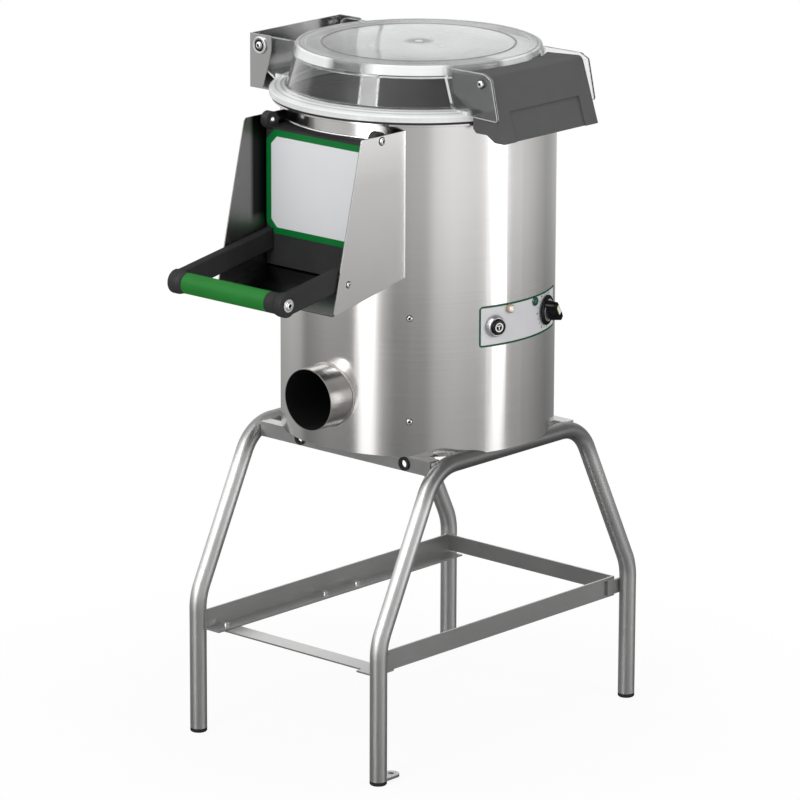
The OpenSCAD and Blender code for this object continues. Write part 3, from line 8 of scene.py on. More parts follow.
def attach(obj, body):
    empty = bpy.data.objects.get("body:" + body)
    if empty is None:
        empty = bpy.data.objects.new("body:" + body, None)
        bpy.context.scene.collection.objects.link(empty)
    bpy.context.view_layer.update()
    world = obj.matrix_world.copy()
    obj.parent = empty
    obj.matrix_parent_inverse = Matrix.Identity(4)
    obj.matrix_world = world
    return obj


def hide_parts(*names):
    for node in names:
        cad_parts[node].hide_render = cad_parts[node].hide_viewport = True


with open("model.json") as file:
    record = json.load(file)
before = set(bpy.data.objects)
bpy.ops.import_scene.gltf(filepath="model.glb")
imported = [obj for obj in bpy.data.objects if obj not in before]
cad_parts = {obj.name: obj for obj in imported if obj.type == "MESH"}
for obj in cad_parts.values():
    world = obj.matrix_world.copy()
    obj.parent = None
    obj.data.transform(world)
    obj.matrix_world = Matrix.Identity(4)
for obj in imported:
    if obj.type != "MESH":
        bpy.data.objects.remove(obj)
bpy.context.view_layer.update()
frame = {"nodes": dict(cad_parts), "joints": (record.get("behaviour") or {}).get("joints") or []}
nodes = frame["nodes"]

# Places are given in mm about the drum axis, with x towards the control panel, y towards the back
# and z up from the floor. Inside the materials they are in metres in the row frame.
MM = 1000
joints = {joint["name"]: joint for joint in frame["joints"]}
AXIS_X, AXIS_Y = joints["spindle_turn"]["pos_m"][:2]


def anchor(joint):
    """The anchor of a joint of the frame, in mm about the drum axis."""
    x, y, z = joints[joint]["pos_m"]
    return (x - AXIS_X) * MM, (y - AXIS_Y) * MM, z * MM


# Where the lid, its latch, the door and the timer turn. The door lies in the middle of the chute.
HINGE_X, _, HINGE_Z = anchor("lid_hinge")
LATCH_X, _, LATCH_Z = anchor("latch_hinge")
CHUTE_X, PIVOT_Y, PIVOT_Z = anchor("door_hinge")
_, _, KNOB_Z = anchor("timer_turn")

# Drum and chute
DRUM_R = 200.0
CHEEK_HALF = 111.5
CHEEK_WALL = 2.0
WALL_SCREW_ANGLES = (-51.4, 68.6, -171.4)
WALL_SCREW_HEIGHTS = (502.0, 654.0)
WALL_SCREW_SINK = 0.2
CHUTE_SCREW_Y, CHUTE_SCREW_Z = -279, 724.5
DRAIN_R, DRAIN_Z = 45.9, 529.5

# Where the painted shade of an inner face starts and where it is full
PIPE_INSIDE = (44.6, 44.3)
CHUTE_INSIDE = (112.8, 112.4)
DRUM_INSIDE = (199.4, 199.0)

# Half the distance between the screws of the latch, and between the bushes of the hinge
LATCH_HALF = 107
BUSH_HALF, BUSH_SCREW_HALF = 97, 99.4

# Handle of the door and its arms
HANDLE_Y, HANDLE_Z = -398, 715
ARM_REACH, ARM_RISE = 188, 31
ARM_HALF, ARM_END_R, ARM_END_ANGLE = 15.5, 17.5, 62.4
ARM_IN, ARM_OUT = 95.5, 109.5
ARM_SCREW_HALF = 110.5

# Control panel, bent round the drum, with its knob, button and lamps
PANEL_R = 200.6
PANEL_ANGLE, PANEL_Z = 4.0, 636.25
PANEL_HALF_X, PANEL_HALF_Z, PANEL_CORNER = 89.24, 30.25, 5
KNOB_ANGLE, KNOB_SEAT_R, KNOB_TURN = 18.5, 202.6, 131
BUTTON_ANGLE, BUTTON_Z = -15, 636
LAMP_Z = 658


def row(x, y, z):
    """A point given in mm about the drum axis, in the row frame in metres."""
    return Vector((x / MM + AXIS_X, y / MM + AXIS_Y, z / MM))


# Camera, matched to the photo
LENS, SENSOR, FARTHEST = 242.1, 36, 100
AZIMUTH, ELEVATION, ROLL = 42.02, 14.97, 0.2
CAMERA_AT = row(5075.6, -5670.9, 2515.9)


def camera_frame():
    """The place and direction of the camera, where azimuth 0 looks along +Y."""
    azimuth, elevation, roll = (math.radians(v) for v in (AZIMUTH, ELEVATION, ROLL))
    level = Vector((math.cos(azimuth), math.sin(azimuth), 0))
    ahead = Vector((-math.sin(azimuth) * math.cos(elevation), math.cos(azimuth) * math.cos(elevation),
                    -math.sin(elevation)))
    above = level.cross(ahead)
    right = level * math.cos(roll) + above * math.sin(roll)
    up = above * math.cos(roll) - level * math.sin(roll)
    f = Matrix.Identity(4)
    for i in range(3):
        f[i][0], f[i][1], f[i][2] = right[i], up[i], -ahead[i]
        f[i][3] = CAMERA_AT[i]
    return f


cam_data = bpy.data.cameras.new("camera")
cam = bpy.data.objects.new("camera", cam_data)
bpy.context.scene.collection.objects.link(cam)
cam_data.lens = LENS
cam_data.sensor_width = SENSOR
cam_data.clip_end = FARTHEST
cam.matrix_world = camera_frame()
bpy.context.scene.camera = cam
bpy.context.scene.view_settings.view_transform = "Standard"


# Nodes of materials and of the world
class Net:
    """Adds nodes to the tree of a material or of the world and links them."""

    def __init__(self, tree, clear=True):
        self.tree = tree
        if clear:
            tree.nodes.clear()

    def link(self, source, target):
        self.tree.links.new(source, target)

    def put(self, target, value):
        """Links an input to a socket or gives it a plain value."""
        if isinstance(value, bpy.types.NodeSocket):
            self.link(value, target)
        else:
            target.default_value = value

    def add(self, kind, **values):
        """A new node. p_name sets a property, i0 the first input, and any other key an input by name."""
        node = self.tree.nodes.new(kind)
        for key, value in values.items():
            if key.startswith("p_"):
                setattr(node, key[2:], value)
        for key, value in values.items():
            if not key.startswith("p_"):
                by_number = key[0] == "i" and key[1:].isdigit()
                self.put(node.inputs[int(key[1:]) if by_number else key.replace("_", " ")], value)
        return node

    def base(self):
        """The material's own Principled shader, which is the first one in its tree."""
        return next(node for node in self.tree.nodes if node.type == "BSDF_PRINCIPLED")

    def math(self, op, a, b=0.0):
        return self.add("ShaderNodeMath", p_operation=op, i0=a, i1=b).outputs[0]

    def plus(self, a, b):
        return self.math("ADD", a, b)

    def minus(self, a, b):
        return self.math("SUBTRACT", a, b)

    def times(self, a, b):
        return self.math("MULTIPLY", a, b)

    def larger(self, a, b):
        return self.math("MAXIMUM", a, b)

    def length(self, a, b):
        """The length of a step of a one way and b across it."""
        return self.math("SQRT", self.plus(self.times(a, a), self.times(b, b)))

    def span(self, value, low, high):
        """Goes from 0 to 1 as a value goes from low to high."""
        return self.add("ShaderNodeMapRange", Value=value, From_Min=low, From_Max=high).outputs[0]

    def ramp(self, factor, stops, mode="LINEAR"):
        """A ramp through stops of (place from 0 to 1, grey level or colour)."""
        node = self.add("ShaderNodeValToRGB", Fac=factor)
        node.color_ramp.interpolation = mode
        elements = node.color_ramp.elements
        while len(elements) > 1:
            elements.remove(elements[-1])
        for i, (at, tone) in enumerate(stops):
            stop = elements[0] if i == 0 else elements.new(at)
            stop.position = at
            stop.color = (tone, tone, tone, 1) if isinstance(tone, (int, float)) else (*tone, 1)
        return node.outputs[0]

    def along(self, value, reach, stops):
        """A ramp along a value that goes from 0 to reach, with the places of its stops in metres."""
        return self.ramp(self.times(value, 1 / reach), [(at / reach, tone) for at, tone in stops])

    def compass(self, x, y, stops):
        """A ramp round a full circle, with the places of its stops in degrees from -180 to 180."""
        turn = self.plus(self.math("DIVIDE", self.math("ARCTAN2", y, x), 2 * math.pi), 0.5)
        return self.ramp(turn, [((at + 180) / 360, tone) for at, tone in stops])

    def mix(self, factor, a, b, mode="MIX"):
        """A mix of two colours."""
        node = self.add("ShaderNodeMix", p_data_type="RGBA", p_blend_type=mode, i0=factor)
        for target, value in ((node.inputs[6], a), (node.inputs[7], b)):
            self.put(target, value if isinstance(value, bpy.types.NodeSocket) else (*value, 1))
        return node.outputs[2]

    def blend(self, factor, first, second):
        """A mix of two shaders."""
        node = self.add("ShaderNodeMixShader", i0=factor)
        self.link(first.outputs[0], node.inputs[1])
        self.link(second.outputs[0], node.inputs[2])
        return node


def material(name):
    """A new material with its tree and its Principled shader."""
    mat = bpy.data.materials.new(name)
    mat.use_nodes = True
    net = Net(mat.node_tree)
    base = net.add("ShaderNodeBsdfPrincipled")
    out = net.add("ShaderNodeOutputMaterial")
    net.link(base.outputs[0], out.inputs[0])
    return mat, net, base


def over(net, base, other, factor):
    """Lays a second shader over a material by a factor from 0 to 1."""
    out = next(node for node in net.tree.nodes if node.type == "OUTPUT_MATERIAL")
    net.link(net.blend(factor, base, other).outputs[0], out.inputs[0])


def tint(net, by):
    """Multiplies the colour of a material by a value."""
    colour = net.base().inputs["Base Color"]
    net.link(net.mix(1.0, colour.links[0].from_socket, by, "MULTIPLY"), colour)


def relief(net, base, height, strength, distance, edge):
    """Gives a material its fine relief and softly rounded edges, and returns their normal."""
    soft = net.add("ShaderNodeBevel", p_samples=4, Radius=edge).outputs[0]
    bump = net.add("ShaderNodeBump", Strength=strength, Distance=distance, Height=height, Normal=soft)
    net.link(bump.outputs[0], base.inputs["Normal"])
    return bump.outputs[0]


def where(net):
    """The object coordinates as one vector."""
    return net.add("ShaderNodeTexCoord").outputs["Object"]


def place(net):
    """The three object coordinates, which are row coordinates in metres."""
    return net.add("ShaderNodeSeparateXYZ", Vector=where(net)).outputs


def coords(net, scale):
    """Object coordinates stretched along X, Y and Z."""
    node = net.add("ShaderNodeMapping", Vector=where(net))
    node.inputs["Scale"].default_value = scale
    return node.outputs[0]


def noise(net, vector, detail, rough, scale=1.0):
    """A noise texture as a value from 0 to 1."""
    node = net.add("ShaderNodeTexNoise", Vector=vector, Scale=scale, Detail=detail, Roughness=rough)
    return node.outputs[0]


def uneven(net, rough, *parts):
    """A roughness that textures move about its mean, each by its own amount."""
    total = None
    for texture, amount in parts:
        part = net.times(texture, amount)
        total = part if total is None else net.plus(total, part)
    return net.plus(total, rough - sum(amount for texture, amount in parts) / 2)


def shades(colour, darker, lighter):
    """A darker and a lighter shade of a colour."""
    return tuple(c * (1 - darker) for c in colour), tuple(min(1.0, c * (1 + lighter)) for c in colour)


def brushed(name, colour, rough, grain, dirt, bump, turned_about="", aniso=0.0):
    """Brushed metal. grain is the scale of the brush lines along X, Y and Z, and turned_about the
    axis that they run round."""
    mat, net, base = material(name)
    lines = noise(net, coords(net, grain), 4.0, 0.65)
    smudge = noise(net, coords(net, (9, 9, 6)), 4.0, 0.55)
    spots = net.plus(net.times(lines, 0.6), net.times(smudge, 0.4))
    dark, light = shades(colour, dirt, dirt * 0.6)
    net.link(net.ramp(spots, [(0.32, dark), (0.68, light)]), base.inputs["Base Color"])
    net.link(uneven(net, rough, (lines, 0.10), (smudge, 0.08)), base.inputs["Roughness"])
    base.inputs["Metallic"].default_value = 1.0
    if turned_about:
        base.inputs["Anisotropic"].default_value = aniso
        tangent = net.add("ShaderNodeTangent", p_direction_type="RADIAL", p_axis=turned_about)
        net.link(tangent.outputs[0], base.inputs["Tangent"])
    relief(net, base, lines, bump, 0.0004, 0.0006)
    return mat


def plastic(name, colour, rough, grain, bump, spread, gloss):
    """Moulded plastic, rubber or paint with a fine texture, faint scuffs and uneven gloss."""
    mat, net, base = material(name)
    fine = noise(net, coords(net, (grain, grain, grain)), 2.0, 0.5)
    wide = noise(net, coords(net, (22, 22, 22)), 5.0, 0.6)
    scratch = noise(net, coords(net, (160, 12, 90)), 6.0, 0.7)
    spots = net.plus(net.times(fine, 0.35), net.times(wide, 0.65))
    dark, light = shades(colour, spread, spread)
    net.link(net.ramp(spots, [(0.34, dark), (0.66, light)]), base.inputs["Base Color"])
    base.inputs["Roughness"].default_value = 0.6
    base.inputs["Specular IOR Level"].default_value = 0.0
    normal = relief(net, base, fine, bump, 0.0003, 0.0008)
    shine = net.add("ShaderNodeBsdfAnisotropic", Color=(1, 1, 1, 1),
                    Roughness=uneven(net, rough, (wide, 0.12), (scratch, 0.10)), Normal=normal)
    over(net, base, shine, gloss)
    return mat


# Materials. A metal has its key, name, colour, roughness, grain, dirt and bump, and a turned one also
# the axis that its lines run round and the stretch of its highlights. A plastic has its key, name,
# colour, roughness, grain, bump, spread of colour and gloss.
METALS = (
    ("drum", "brushed_drum", (0.69, 0.68, 0.67), 0.15, (3, 3, 1400), 0.05, 0.006, "Z", 0.55),
    ("sheet", "brushed_sheet", (0.68, 0.67, 0.66), 0.20, (30, 40, 900), 0.03, 0.001),
    ("bracket", "brushed_bracket", (0.50, 0.495, 0.49), 0.18, (30, 40, 900), 0.04, 0.001),
    ("sheet_in", "plain_sheet", (0.52, 0.52, 0.52), 0.38, (700, 700, 60), 0.12, 0.02),
    ("tube", "stand_tube", (0.52, 0.52, 0.515), 0.42, (260, 260, 12), 0.06, 0.0005),
    ("rail", "stand_rail", (0.50, 0.50, 0.495), 0.34, (60, 25, 1100), 0.12, 0.01),
    ("pipe", "drain_pipe", (0.58, 0.565, 0.55), 0.20, (25, 1500, 25), 0.12, 0.01, "Y", 0.45),
    ("bezel", "satin_bezel", (0.52, 0.52, 0.53), 0.30, (400, 400, 400), 0.06, 0.01),
    ("chrome", "polished_screw", (0.80, 0.80, 0.81), 0.16, (400, 400, 400), 0.06, 0.01),
    ("shaft", "ground_shaft", (0.70, 0.70, 0.71), 0.22, (40, 40, 2500), 0.06, 0.02),
    ("brass", "machined_brass", (0.72, 0.58, 0.32), 0.26, (900, 30, 900), 0.10, 0.03),
    ("weld", "weld_bead", (0.50, 0.48, 0.46), 0.30, (900, 900, 900), 0.25, 0.3),
    ("chute", "brushed_chute", (0.68, 0.67, 0.66), 0.20, (30, 40, 900), 0.03, 0.001),
    # The floor of the chute is dark with painted shade
    ("chute_floor", "wet_chute_floor", (0.16, 0.16, 0.16), 0.22, (40, 30, 900), 0.2, 0.01))
PLASTICS = (
    ("cast", "cast_metal", (0.16, 0.17, 0.18), 0.55, 260, 0.5, 0.20, 0.04),
    ("motor", "motor_paint", (0.12, 0.15, 0.18), 0.35, 500, 0.2, 0.12, 0.05),
    ("grit", "abrasive_grit", (0.022, 0.021, 0.020), 0.85, 520, 0.5, 0.30, 0.005),
    ("rubber", "rubber", (0.016, 0.016, 0.016), 0.62, 600, 0.25, 0.30, 0.02),
    ("seal", "seal_rubber", (0.022, 0.022, 0.022), 0.50, 700, 0.2, 0.30, 0.03),
    ("door", "door_plastic", (0.030, 0.030, 0.031), 0.42, 800, 0.04, 0.15, 0.02),
    ("arm", "arm_plastic", (0.033, 0.033, 0.034), 0.42, 800, 0.04, 0.12, 0.009),
    ("lever", "lever_plastic", (0.086, 0.086, 0.087), 0.46, 850, 0.04, 0.05, 0.03),
    ("grip", "grip_plastic", (0.014, 0.165, 0.024), 0.40, 700, 0.05, 0.08, 0.02),
    ("green", "printed_green", (0.003, 0.160, 0.030), 0.34, 900, 0.02, 0.05, 0.02),
    ("label", "printed_label", (0.75, 0.76, 0.78), 0.32, 900, 0.02, 0.012, 0.03),
    ("panel", "panel_plate", (0.60, 0.60, 0.615), 0.36, 900, 0.02, 0.03, 0.06),
    ("line", "panel_green", (0.002, 0.070, 0.024), 0.40, 900, 0.02, 0.05, 0.03),
    # This black serves as print on the panel and the button, and as painted shade in screw sockets and round
    # screw heads
    ("ink", "panel_ink", (0.006, 0.006, 0.007), 0.50, 900, 0.02, 0.10, 0.01),
    ("knob", "knob_black", (0.005, 0.005, 0.005), 0.22, 700, 0.03, 0.20, 0.02),
    ("cream", "knob_mark", (0.80, 0.78, 0.60), 0.35, 700, 0.05, 0.05, 0.04),
    ("white", "button_white", (0.80, 0.80, 0.78), 0.30, 700, 0.04, 0.03, 0.05),
    ("amber", "lamp_lens", (0.72, 0.58, 0.42), 0.12, 300, 0.05, 0.10, 0.08),
    ("lampgreen", "lamp_green", (0.003, 0.060, 0.040), 0.12, 300, 0.03, 0.15, 0.06),
    ("beige", "lamp_collar", (0.36, 0.26, 0.18), 0.30, 500, 0.1, 0.15, 0.10),
    ("lens_white", "lamp_lens_white", (0.84, 0.80, 0.72), 0.15, 500, 0.05, 0.05, 0.08),
    ("box", "switch_plastic", (0.55, 0.54, 0.50), 0.45, 700, 0.1, 0.12, 0.04),
    ("gland", "gland_plastic", (0.05, 0.05, 0.05), 0.45, 700, 0.12, 0.12, 0.03))
looks = {key: brushed(*values) for key, *values in METALS}
looks.update((key, plastic(*values)) for key, *values in PLASTICS)


def paint_inner_shade(mat, test, colour, rough, metal):
    """Gives the part of a material that a test picks out a duller metal, darker with painted shade. The test
    takes the three object coordinates and returns a value from 0 to 1."""
    net = Net(mat.node_tree, clear=False)
    base = net.base()
    xyz = place(net)
    stain = noise(net, where(net), 3, 0.5, 60)
    dull_and_shaded = net.add("ShaderNodeBsdfPrincipled", Metallic=metal, Roughness=uneven(net, rough, (stain, 0.16)))
    tone = net.ramp(stain, [(0.35, tuple(0.92 * c for c in colour)), (0.65, colour)])
    net.link(tone, dull_and_shaded.inputs["Base Color"])
    over(net, base, dull_and_shaded, test(net, *xyz))
    return net, dull_and_shaded, tone, xyz


def within(net, distance, limits):
    """Goes to 1 as a distance in metres falls from the first limit in mm to the second."""
    return net.span(distance, limits[0] / MM, limits[1] / MM)


def inside_pipe(net, x, y, z):
    distance = net.length(net.minus(x, CHUTE_X / MM + AXIS_X), net.minus(z, DRAIN_Z / MM))
    return within(net, distance, PIPE_INSIDE)


def inside_chute(net, x, y, z):
    return within(net, net.math("ABSOLUTE", net.minus(x, CHUTE_X / MM + AXIS_X)), CHUTE_INSIDE)


def inside_drum(net, x, y, z):
    return within(net, net.length(net.minus(x, AXIS_X), net.minus(y, AXIS_Y)), DRUM_INSIDE)


# Painted shade inside the drain pipe and inside the drum
paint_inner_shade(looks["pipe"], inside_pipe, (0.012, 0.012, 0.012), 0.7, 0.6)
paint_inner_shade(looks["drum"], inside_drum, (0.10, 0.10, 0.10), 0.42, 1.0)

# The cheeks of the chute are duller and darker inside with painted shade, nearly black with painted shade
# behind the door, and brighter towards the top
BEHIND_DOOR_Y, BEHIND_DOOR_Z = (-0.178, -0.170), (0.765, 0.785)
CHEEK_TONES = [(0.70, 0.94), (0.86, 1.0), (0.93, 1.32)]
net, dull_and_shaded, tone, (x, y, z) = paint_inner_shade(looks["chute"], inside_chute, (0.27, 0.265, 0.26), 0.34, 1.0)
shade_behind_door = net.times(net.span(y, *BEHIND_DOOR_Y), net.span(z, *BEHIND_DOOR_Z))
net.link(net.mix(shade_behind_door, tone, (0.02, 0.02, 0.02)), dull_and_shaded.inputs["Base Color"])
tint(net, net.ramp(z, CHEEK_TONES))

# The sloping parts of the stand tubes, which face upwards, are lighter than the upright ones by a painted
# highlight, and the bends at the welds are darker
TUBE_REACH = 0.5
TUBE_ROUGHNESS = [(0.23, 1.0), (0.31, 0.92)]
TUBE_TONES = [(0.28, 1.0), (0.33, 1.15), (0.39, 1.15), (0.43, 0.46), (0.46, 0.40), (0.48, 0.55)]
net = Net(looks["tube"].node_tree, clear=False)
height = place(net)[2]
rough = net.base().inputs["Roughness"]
net.link(net.times(rough.links[0].from_socket, net.along(height, TUBE_REACH, TUBE_ROUGHNESS)), rough)
tint(net, net.along(height, TUBE_REACH, TUBE_TONES))

# How white the clear lid is, by radius in metres on its flange and on its top and by compass direction
# on its rim: milky plastic with painted highlights on the flange and the top, painted reflections on the
# rim, and how much of its brightness the top keeps under the painted shade of its middle dimple and its
# grooves
LID_REACH = 0.25
FLANGE_MILK_AND_HIGHLIGHTS = [(0.1905, 0.0), (0.192, 0.75), (0.196, 0.70), (0.1975, 0.25), (0.19925, 0.30), (0.20075, 0.80),
               (0.2055, 0.70), (0.20675, 0.30), (0.20825, 0.74), (0.216, 0.82), (0.2175, 0.0)]
TOP_MILK_AND_HIGHLIGHTS = [(0.0, 0.9), (0.0045, 0.9), (0.0065, 0.6), (0.01875, 0.5), (0.0275, 0.42), (0.06, 0.38),
            (0.105, 0.14), (0.137, 0.04), (0.139, 0.65), (0.1405, 0.65), (0.1425, 0.0), (0.16, 0.04),
            (0.16375, 0.25), (0.167, 0.02), (0.171, 0.5), (0.1725, 0.5), (0.1735, 0.0)]
TOP_SHADE = [(0.0045, 1.0), (0.007, 0.22), (0.015, 0.30), (0.025, 1.0), (0.13725, 1.0), (0.13875, 0.15),
             (0.14075, 0.15), (0.14225, 1.0), (0.169, 1.0), (0.1705, 0.35), (0.172, 0.35), (0.1735, 1.0)]
# Painted reflections of the soft boxes round the rim, by compass direction
RIM_REFLECTIONS = [(-180, 0.3), (-130, 0.35), (-119, 0.88), (-95, 0.88), (-90, 0.10), (-75, 0.16), (-67, 0.90),
            (-38, 0.90), (-33, 0.22), (-9, 0.18), (-5, 0.88), (10, 0.88), (16, 0.25), (50, 0.3), (60, 0.8),
            (85, 0.8), (92, 0.2), (140, 0.25), (150, 0.8), (172, 0.8), (180, 0.3)]
# The limits between which each of these starts and is full, and the way across the top in which its
# painted highlight grows
FLANGE_Z, TOP_Z = (0.9560, 0.9540), (1.0005, 1.0015)
RIM_STARTS, RIM_ENDS, SIDE_HIGHLIGHT_ENDS = (0.1725, 0.175), (0.1845, 0.1835), (0.1375, 0.139)
EDGE_STARTS, EDGE_BEND = (0.186, 0.196), (0.985, 0.93)
SIDE_HIGHLIGHT_X, SIDE_HIGHLIGHT_Y, SIDE_HIGHLIGHT = 0.743, 0.669, [(0.34, 0.3), (0.52, 1.0)]


def clear_plastic(name):
    """Clear moulded plastic whose thick bands are milky with painted highlights and reflections, whose cut
    edges carry a painted highlight, and whose top has painted shade in its dimple and grooves.
    """
    mat, net, base = material(name)
    wide = noise(net, coords(net, (14, 14, 14)), 4.0, 0.55)
    fine = noise(net, coords(net, (300, 300, 300)), 3.0, 0.6)
    colour = net.ramp(wide, [(0.3, (0.88, 0.89, 0.89)), (0.7, (0.94, 0.95, 0.95))])
    net.link(colour, base.inputs["Base Color"])
    net.link(net.plus(net.times(wide, 0.03), net.times(fine, 0.02)), base.inputs["Roughness"])
    base.inputs["Transmission Weight"].default_value = 1.0
    base.inputs["IOR"].default_value = 1.53
    relief(net, base, wide, 0.02, 0.0004, 0.0012)

    x, y, z = place(net)
    x, y = net.minus(x, AXIS_X), net.minus(y, AXIS_Y)
    radius = net.length(x, y)
    flange = net.times(net.along(radius, LID_REACH, FLANGE_MILK_AND_HIGHLIGHTS), net.span(z, *FLANGE_Z))
    side = net.plus(net.times(x, SIDE_HIGHLIGHT_X), net.times(y, SIDE_HIGHLIGHT_Y))
    # Painted highlight that grows across the inner disc of the top towards one side
    side_highlight = net.larger(net.ramp(net.plus(side, 0.5), SIDE_HIGHLIGHT), net.span(radius, *SIDE_HIGHLIGHT_ENDS))
    smear = noise(net, coords(net, (6, 45, 6)), 2.0, 0.5)
    disc = net.times(net.along(radius, LID_REACH, TOP_MILK_AND_HIGHLIGHTS), side_highlight)
    disc = net.times(disc, net.plus(net.times(smear, 0.3), 0.85))
    on_rim = net.times(net.span(radius, *RIM_STARTS), net.span(radius, *RIM_ENDS))
    rim = net.times(net.compass(x, y, RIM_REFLECTIONS), on_rim)
    top = net.times(net.larger(disc, rim), net.span(z, *TOP_Z))

    # Painted highlight on the cut edges, where the rounded normal bends away from the true one
    true_normal = net.add("ShaderNodeNewGeometry").outputs["True Normal"]
    round_normal = net.add("ShaderNodeBevel", p_samples=6, Radius=0.0018).outputs[0]
    same = net.add("ShaderNodeVectorMath", p_operation="DOT_PRODUCT", i0=true_normal, i1=round_normal)
    edge = net.times(net.span(same.outputs["Value"], *EDGE_BEND), net.span(radius, *EDGE_STARTS))
    milk_and_highlights = net.larger(net.larger(flange, top), net.times(edge, 0.85))
    milk_and_highlights = net.plus(milk_and_highlights, net.times(wide, 0.02))
    white = net.add("ShaderNodeBsdfPrincipled", Roughness=net.plus(net.times(fine, 0.15), 0.08))
    tone = net.ramp(wide, [(0.3, (0.84, 0.85, 0.85)), (0.7, (0.92, 0.93, 0.93))])
    shade = net.along(radius, LID_REACH, TOP_SHADE)
    net.link(net.mix(1.0, tone, shade, "MULTIPLY"), white.inputs["Base Color"])
    over(net, base, white, milk_and_highlights)
    return mat


looks["clear"] = clear_plastic("clear_lid")

NODE_LOOKS = {
    "stand_frame_left": "tube", "stand_frame_right": "tube", "foot_caps": "rubber", "anchor_lug": "rail",
    "lower_rail_left": "rail", "lower_rail_right": "rail", "lower_rail_rear": "rail",
    "lower_rail_front": "rail", "rail_corner_tabs": "rail", "rail_bolts": "chrome",
    "front_cross_rail": "rail", "rear_cross_rail": "rail",
    "rail_grommets": "rubber", "drum_shell": "drum", "wall_screws": "chrome", "rim_gasket": "seal",
    "abrasive_liner": "grit", "chamber_floor": "sheet_in", "base_plate": "sheet_in",
    "machine_plate": "sheet_in",
    "bearing_housing": "cast", "bearings": "shaft", "shaft_seal": "seal", "motor_body": "motor",
    "drive_belt": "seal", "drain_duct": "pipe", "chute_cheeks": "chute", "chute_floor": "chute_floor",
    "door_pins": "chrome", "hinge_bracket": "bracket", "hinge_pins": "chrome", "latch_catch": "sheet",
    "control_panel": "panel", "button_bezel": "bezel", "pilot_lamp_power": "amber",
    "pilot_lamp_run": "lampgreen", "timer_body": "box", "contact_block": "box", "junction_box": "box",
    "lid_switch": "gland", "water_inlet": "brass", "cable_gland": "gland", "abrasive_disc": "grit",
    "disc_nut": "shaft", "main_shaft": "shaft", "big_pulley": "cast", "motor_rotor": "cast",
    "lid_cover": "clear", "latch_pins": "chrome", "latch_lever": "lever", "door_panel": "door",
    "door_label": "label", "door_border": "green", "door_gasket": "seal", "door_arms": "arm",
    "handle_rod": "arm", "handle_grip": "grip", "handle_screws": "chrome", "timer_knob": "knob",
    "start_button": "knob",
}
for name, look in NODE_LOOKS.items():
    node_materials = nodes[name].data.materials
    node_materials.clear()
    node_materials.append(looks[look])


# Pieces of the scene's own
SHARP_ANGLE = 40
EDGE_SEGMENTS, EDGE_ANGLE = 3, 30


def piece(name, bm, look, body, node=None, smooth=True):
    """Turns a bmesh into a piece that rides on a body and may stand for a node."""
    bmesh.ops.remove_doubles(bm, verts=bm.verts, dist=1e-6)
    bmesh.ops.recalc_face_normals(bm, faces=bm.faces)
    mesh = bpy.data.meshes.new(name)
    bm.to_mesh(mesh)
    bm.free()
    o = bpy.data.objects.new(name, mesh)
    bpy.context.scene.collection.objects.link(o)
    mesh.materials.append(looks[look])
    if smooth:
        mesh.shade_smooth()
        mesh.set_sharp_from_angle(angle=math.radians(SHARP_ANGLE))
    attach(o, body)
    if node:
        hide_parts(node)
    return o


def soften(o, width):
    """Rounds the edges of a piece by a width in mm."""
    edges = o.modifiers.new("edges", "BEVEL")
    edges.width = width / MM
    edges.segments = EDGE_SEGMENTS
    edges.limit_method = "ANGLE"
    edges.angle_limit = math.radians(EDGE_ANGLE)
    edges.harden_normals = False


def stand_on(centre, axis, spin=0.0):
    """A frame at a point whose Z axis points along a direction."""
    z = Vector(axis).normalized()
    side = Vector((0, 0, 1)) if abs(z.z) < 0.9 else Vector((1, 0, 0))
    x = side.cross(z).normalized()
    y = z.cross(x)
    f = Matrix([(x[i], y[i], z[i], centre[i]) for i in range(3)] + [(0, 0, 0, 1)])
    return f @ Matrix.Rotation(math.radians(spin), 4, "Z")


def put_vert(bm, f, x, y, z):
    """A vertex given in mm in a frame."""
    return bm.verts.new(f @ Vector((x / MM, y / MM, z / MM)))


def skin(bm, rings):
    """Joins rings of vertices that all have the same count."""
    count = len(rings[0])
    for a, b in zip(rings, rings[1:]):
        for i in range(count):
            bm.faces.new((a[i], a[(i + 1) % count], b[(i + 1) % count], b[i]))


def cap(bm, *rings):
    """Closes each ring with a face."""
    for ring in rings:
        bm.faces.new(ring)


def lathe(bm, profile, f, sides=48, hexagons=()):
    """Turns a profile of (radius, height) in mm about the Z axis of a frame. The rings whose number
    is in hexagons are six-sided."""
    sixth = math.pi / 3
    rings = []
    for number, (radius, height) in enumerate(profile):
        ring = []
        for i in range(sides):
            t = 2 * math.pi * i / sides
            r = radius
            if number in hexagons:
                r = radius * math.cos(sixth / 2) / math.cos((t + sixth / 2) % sixth - sixth / 2)
            ring.append(put_vert(bm, f, r * math.cos(t), r * math.sin(t), height))
        rings.append(ring)
    skin(bm, rings)
    cap(bm, rings[0], rings[-1])


def turned(name, profile, f, sides, look, body, node=None):
    """A piece that is one turned profile."""
    bm = bmesh.new()
    lathe(bm, profile, f, sides)
    piece(name, bm, look, body, node)


# Screws whose sockets and heads still wait for their painted shade
screws_awaiting_shade = []


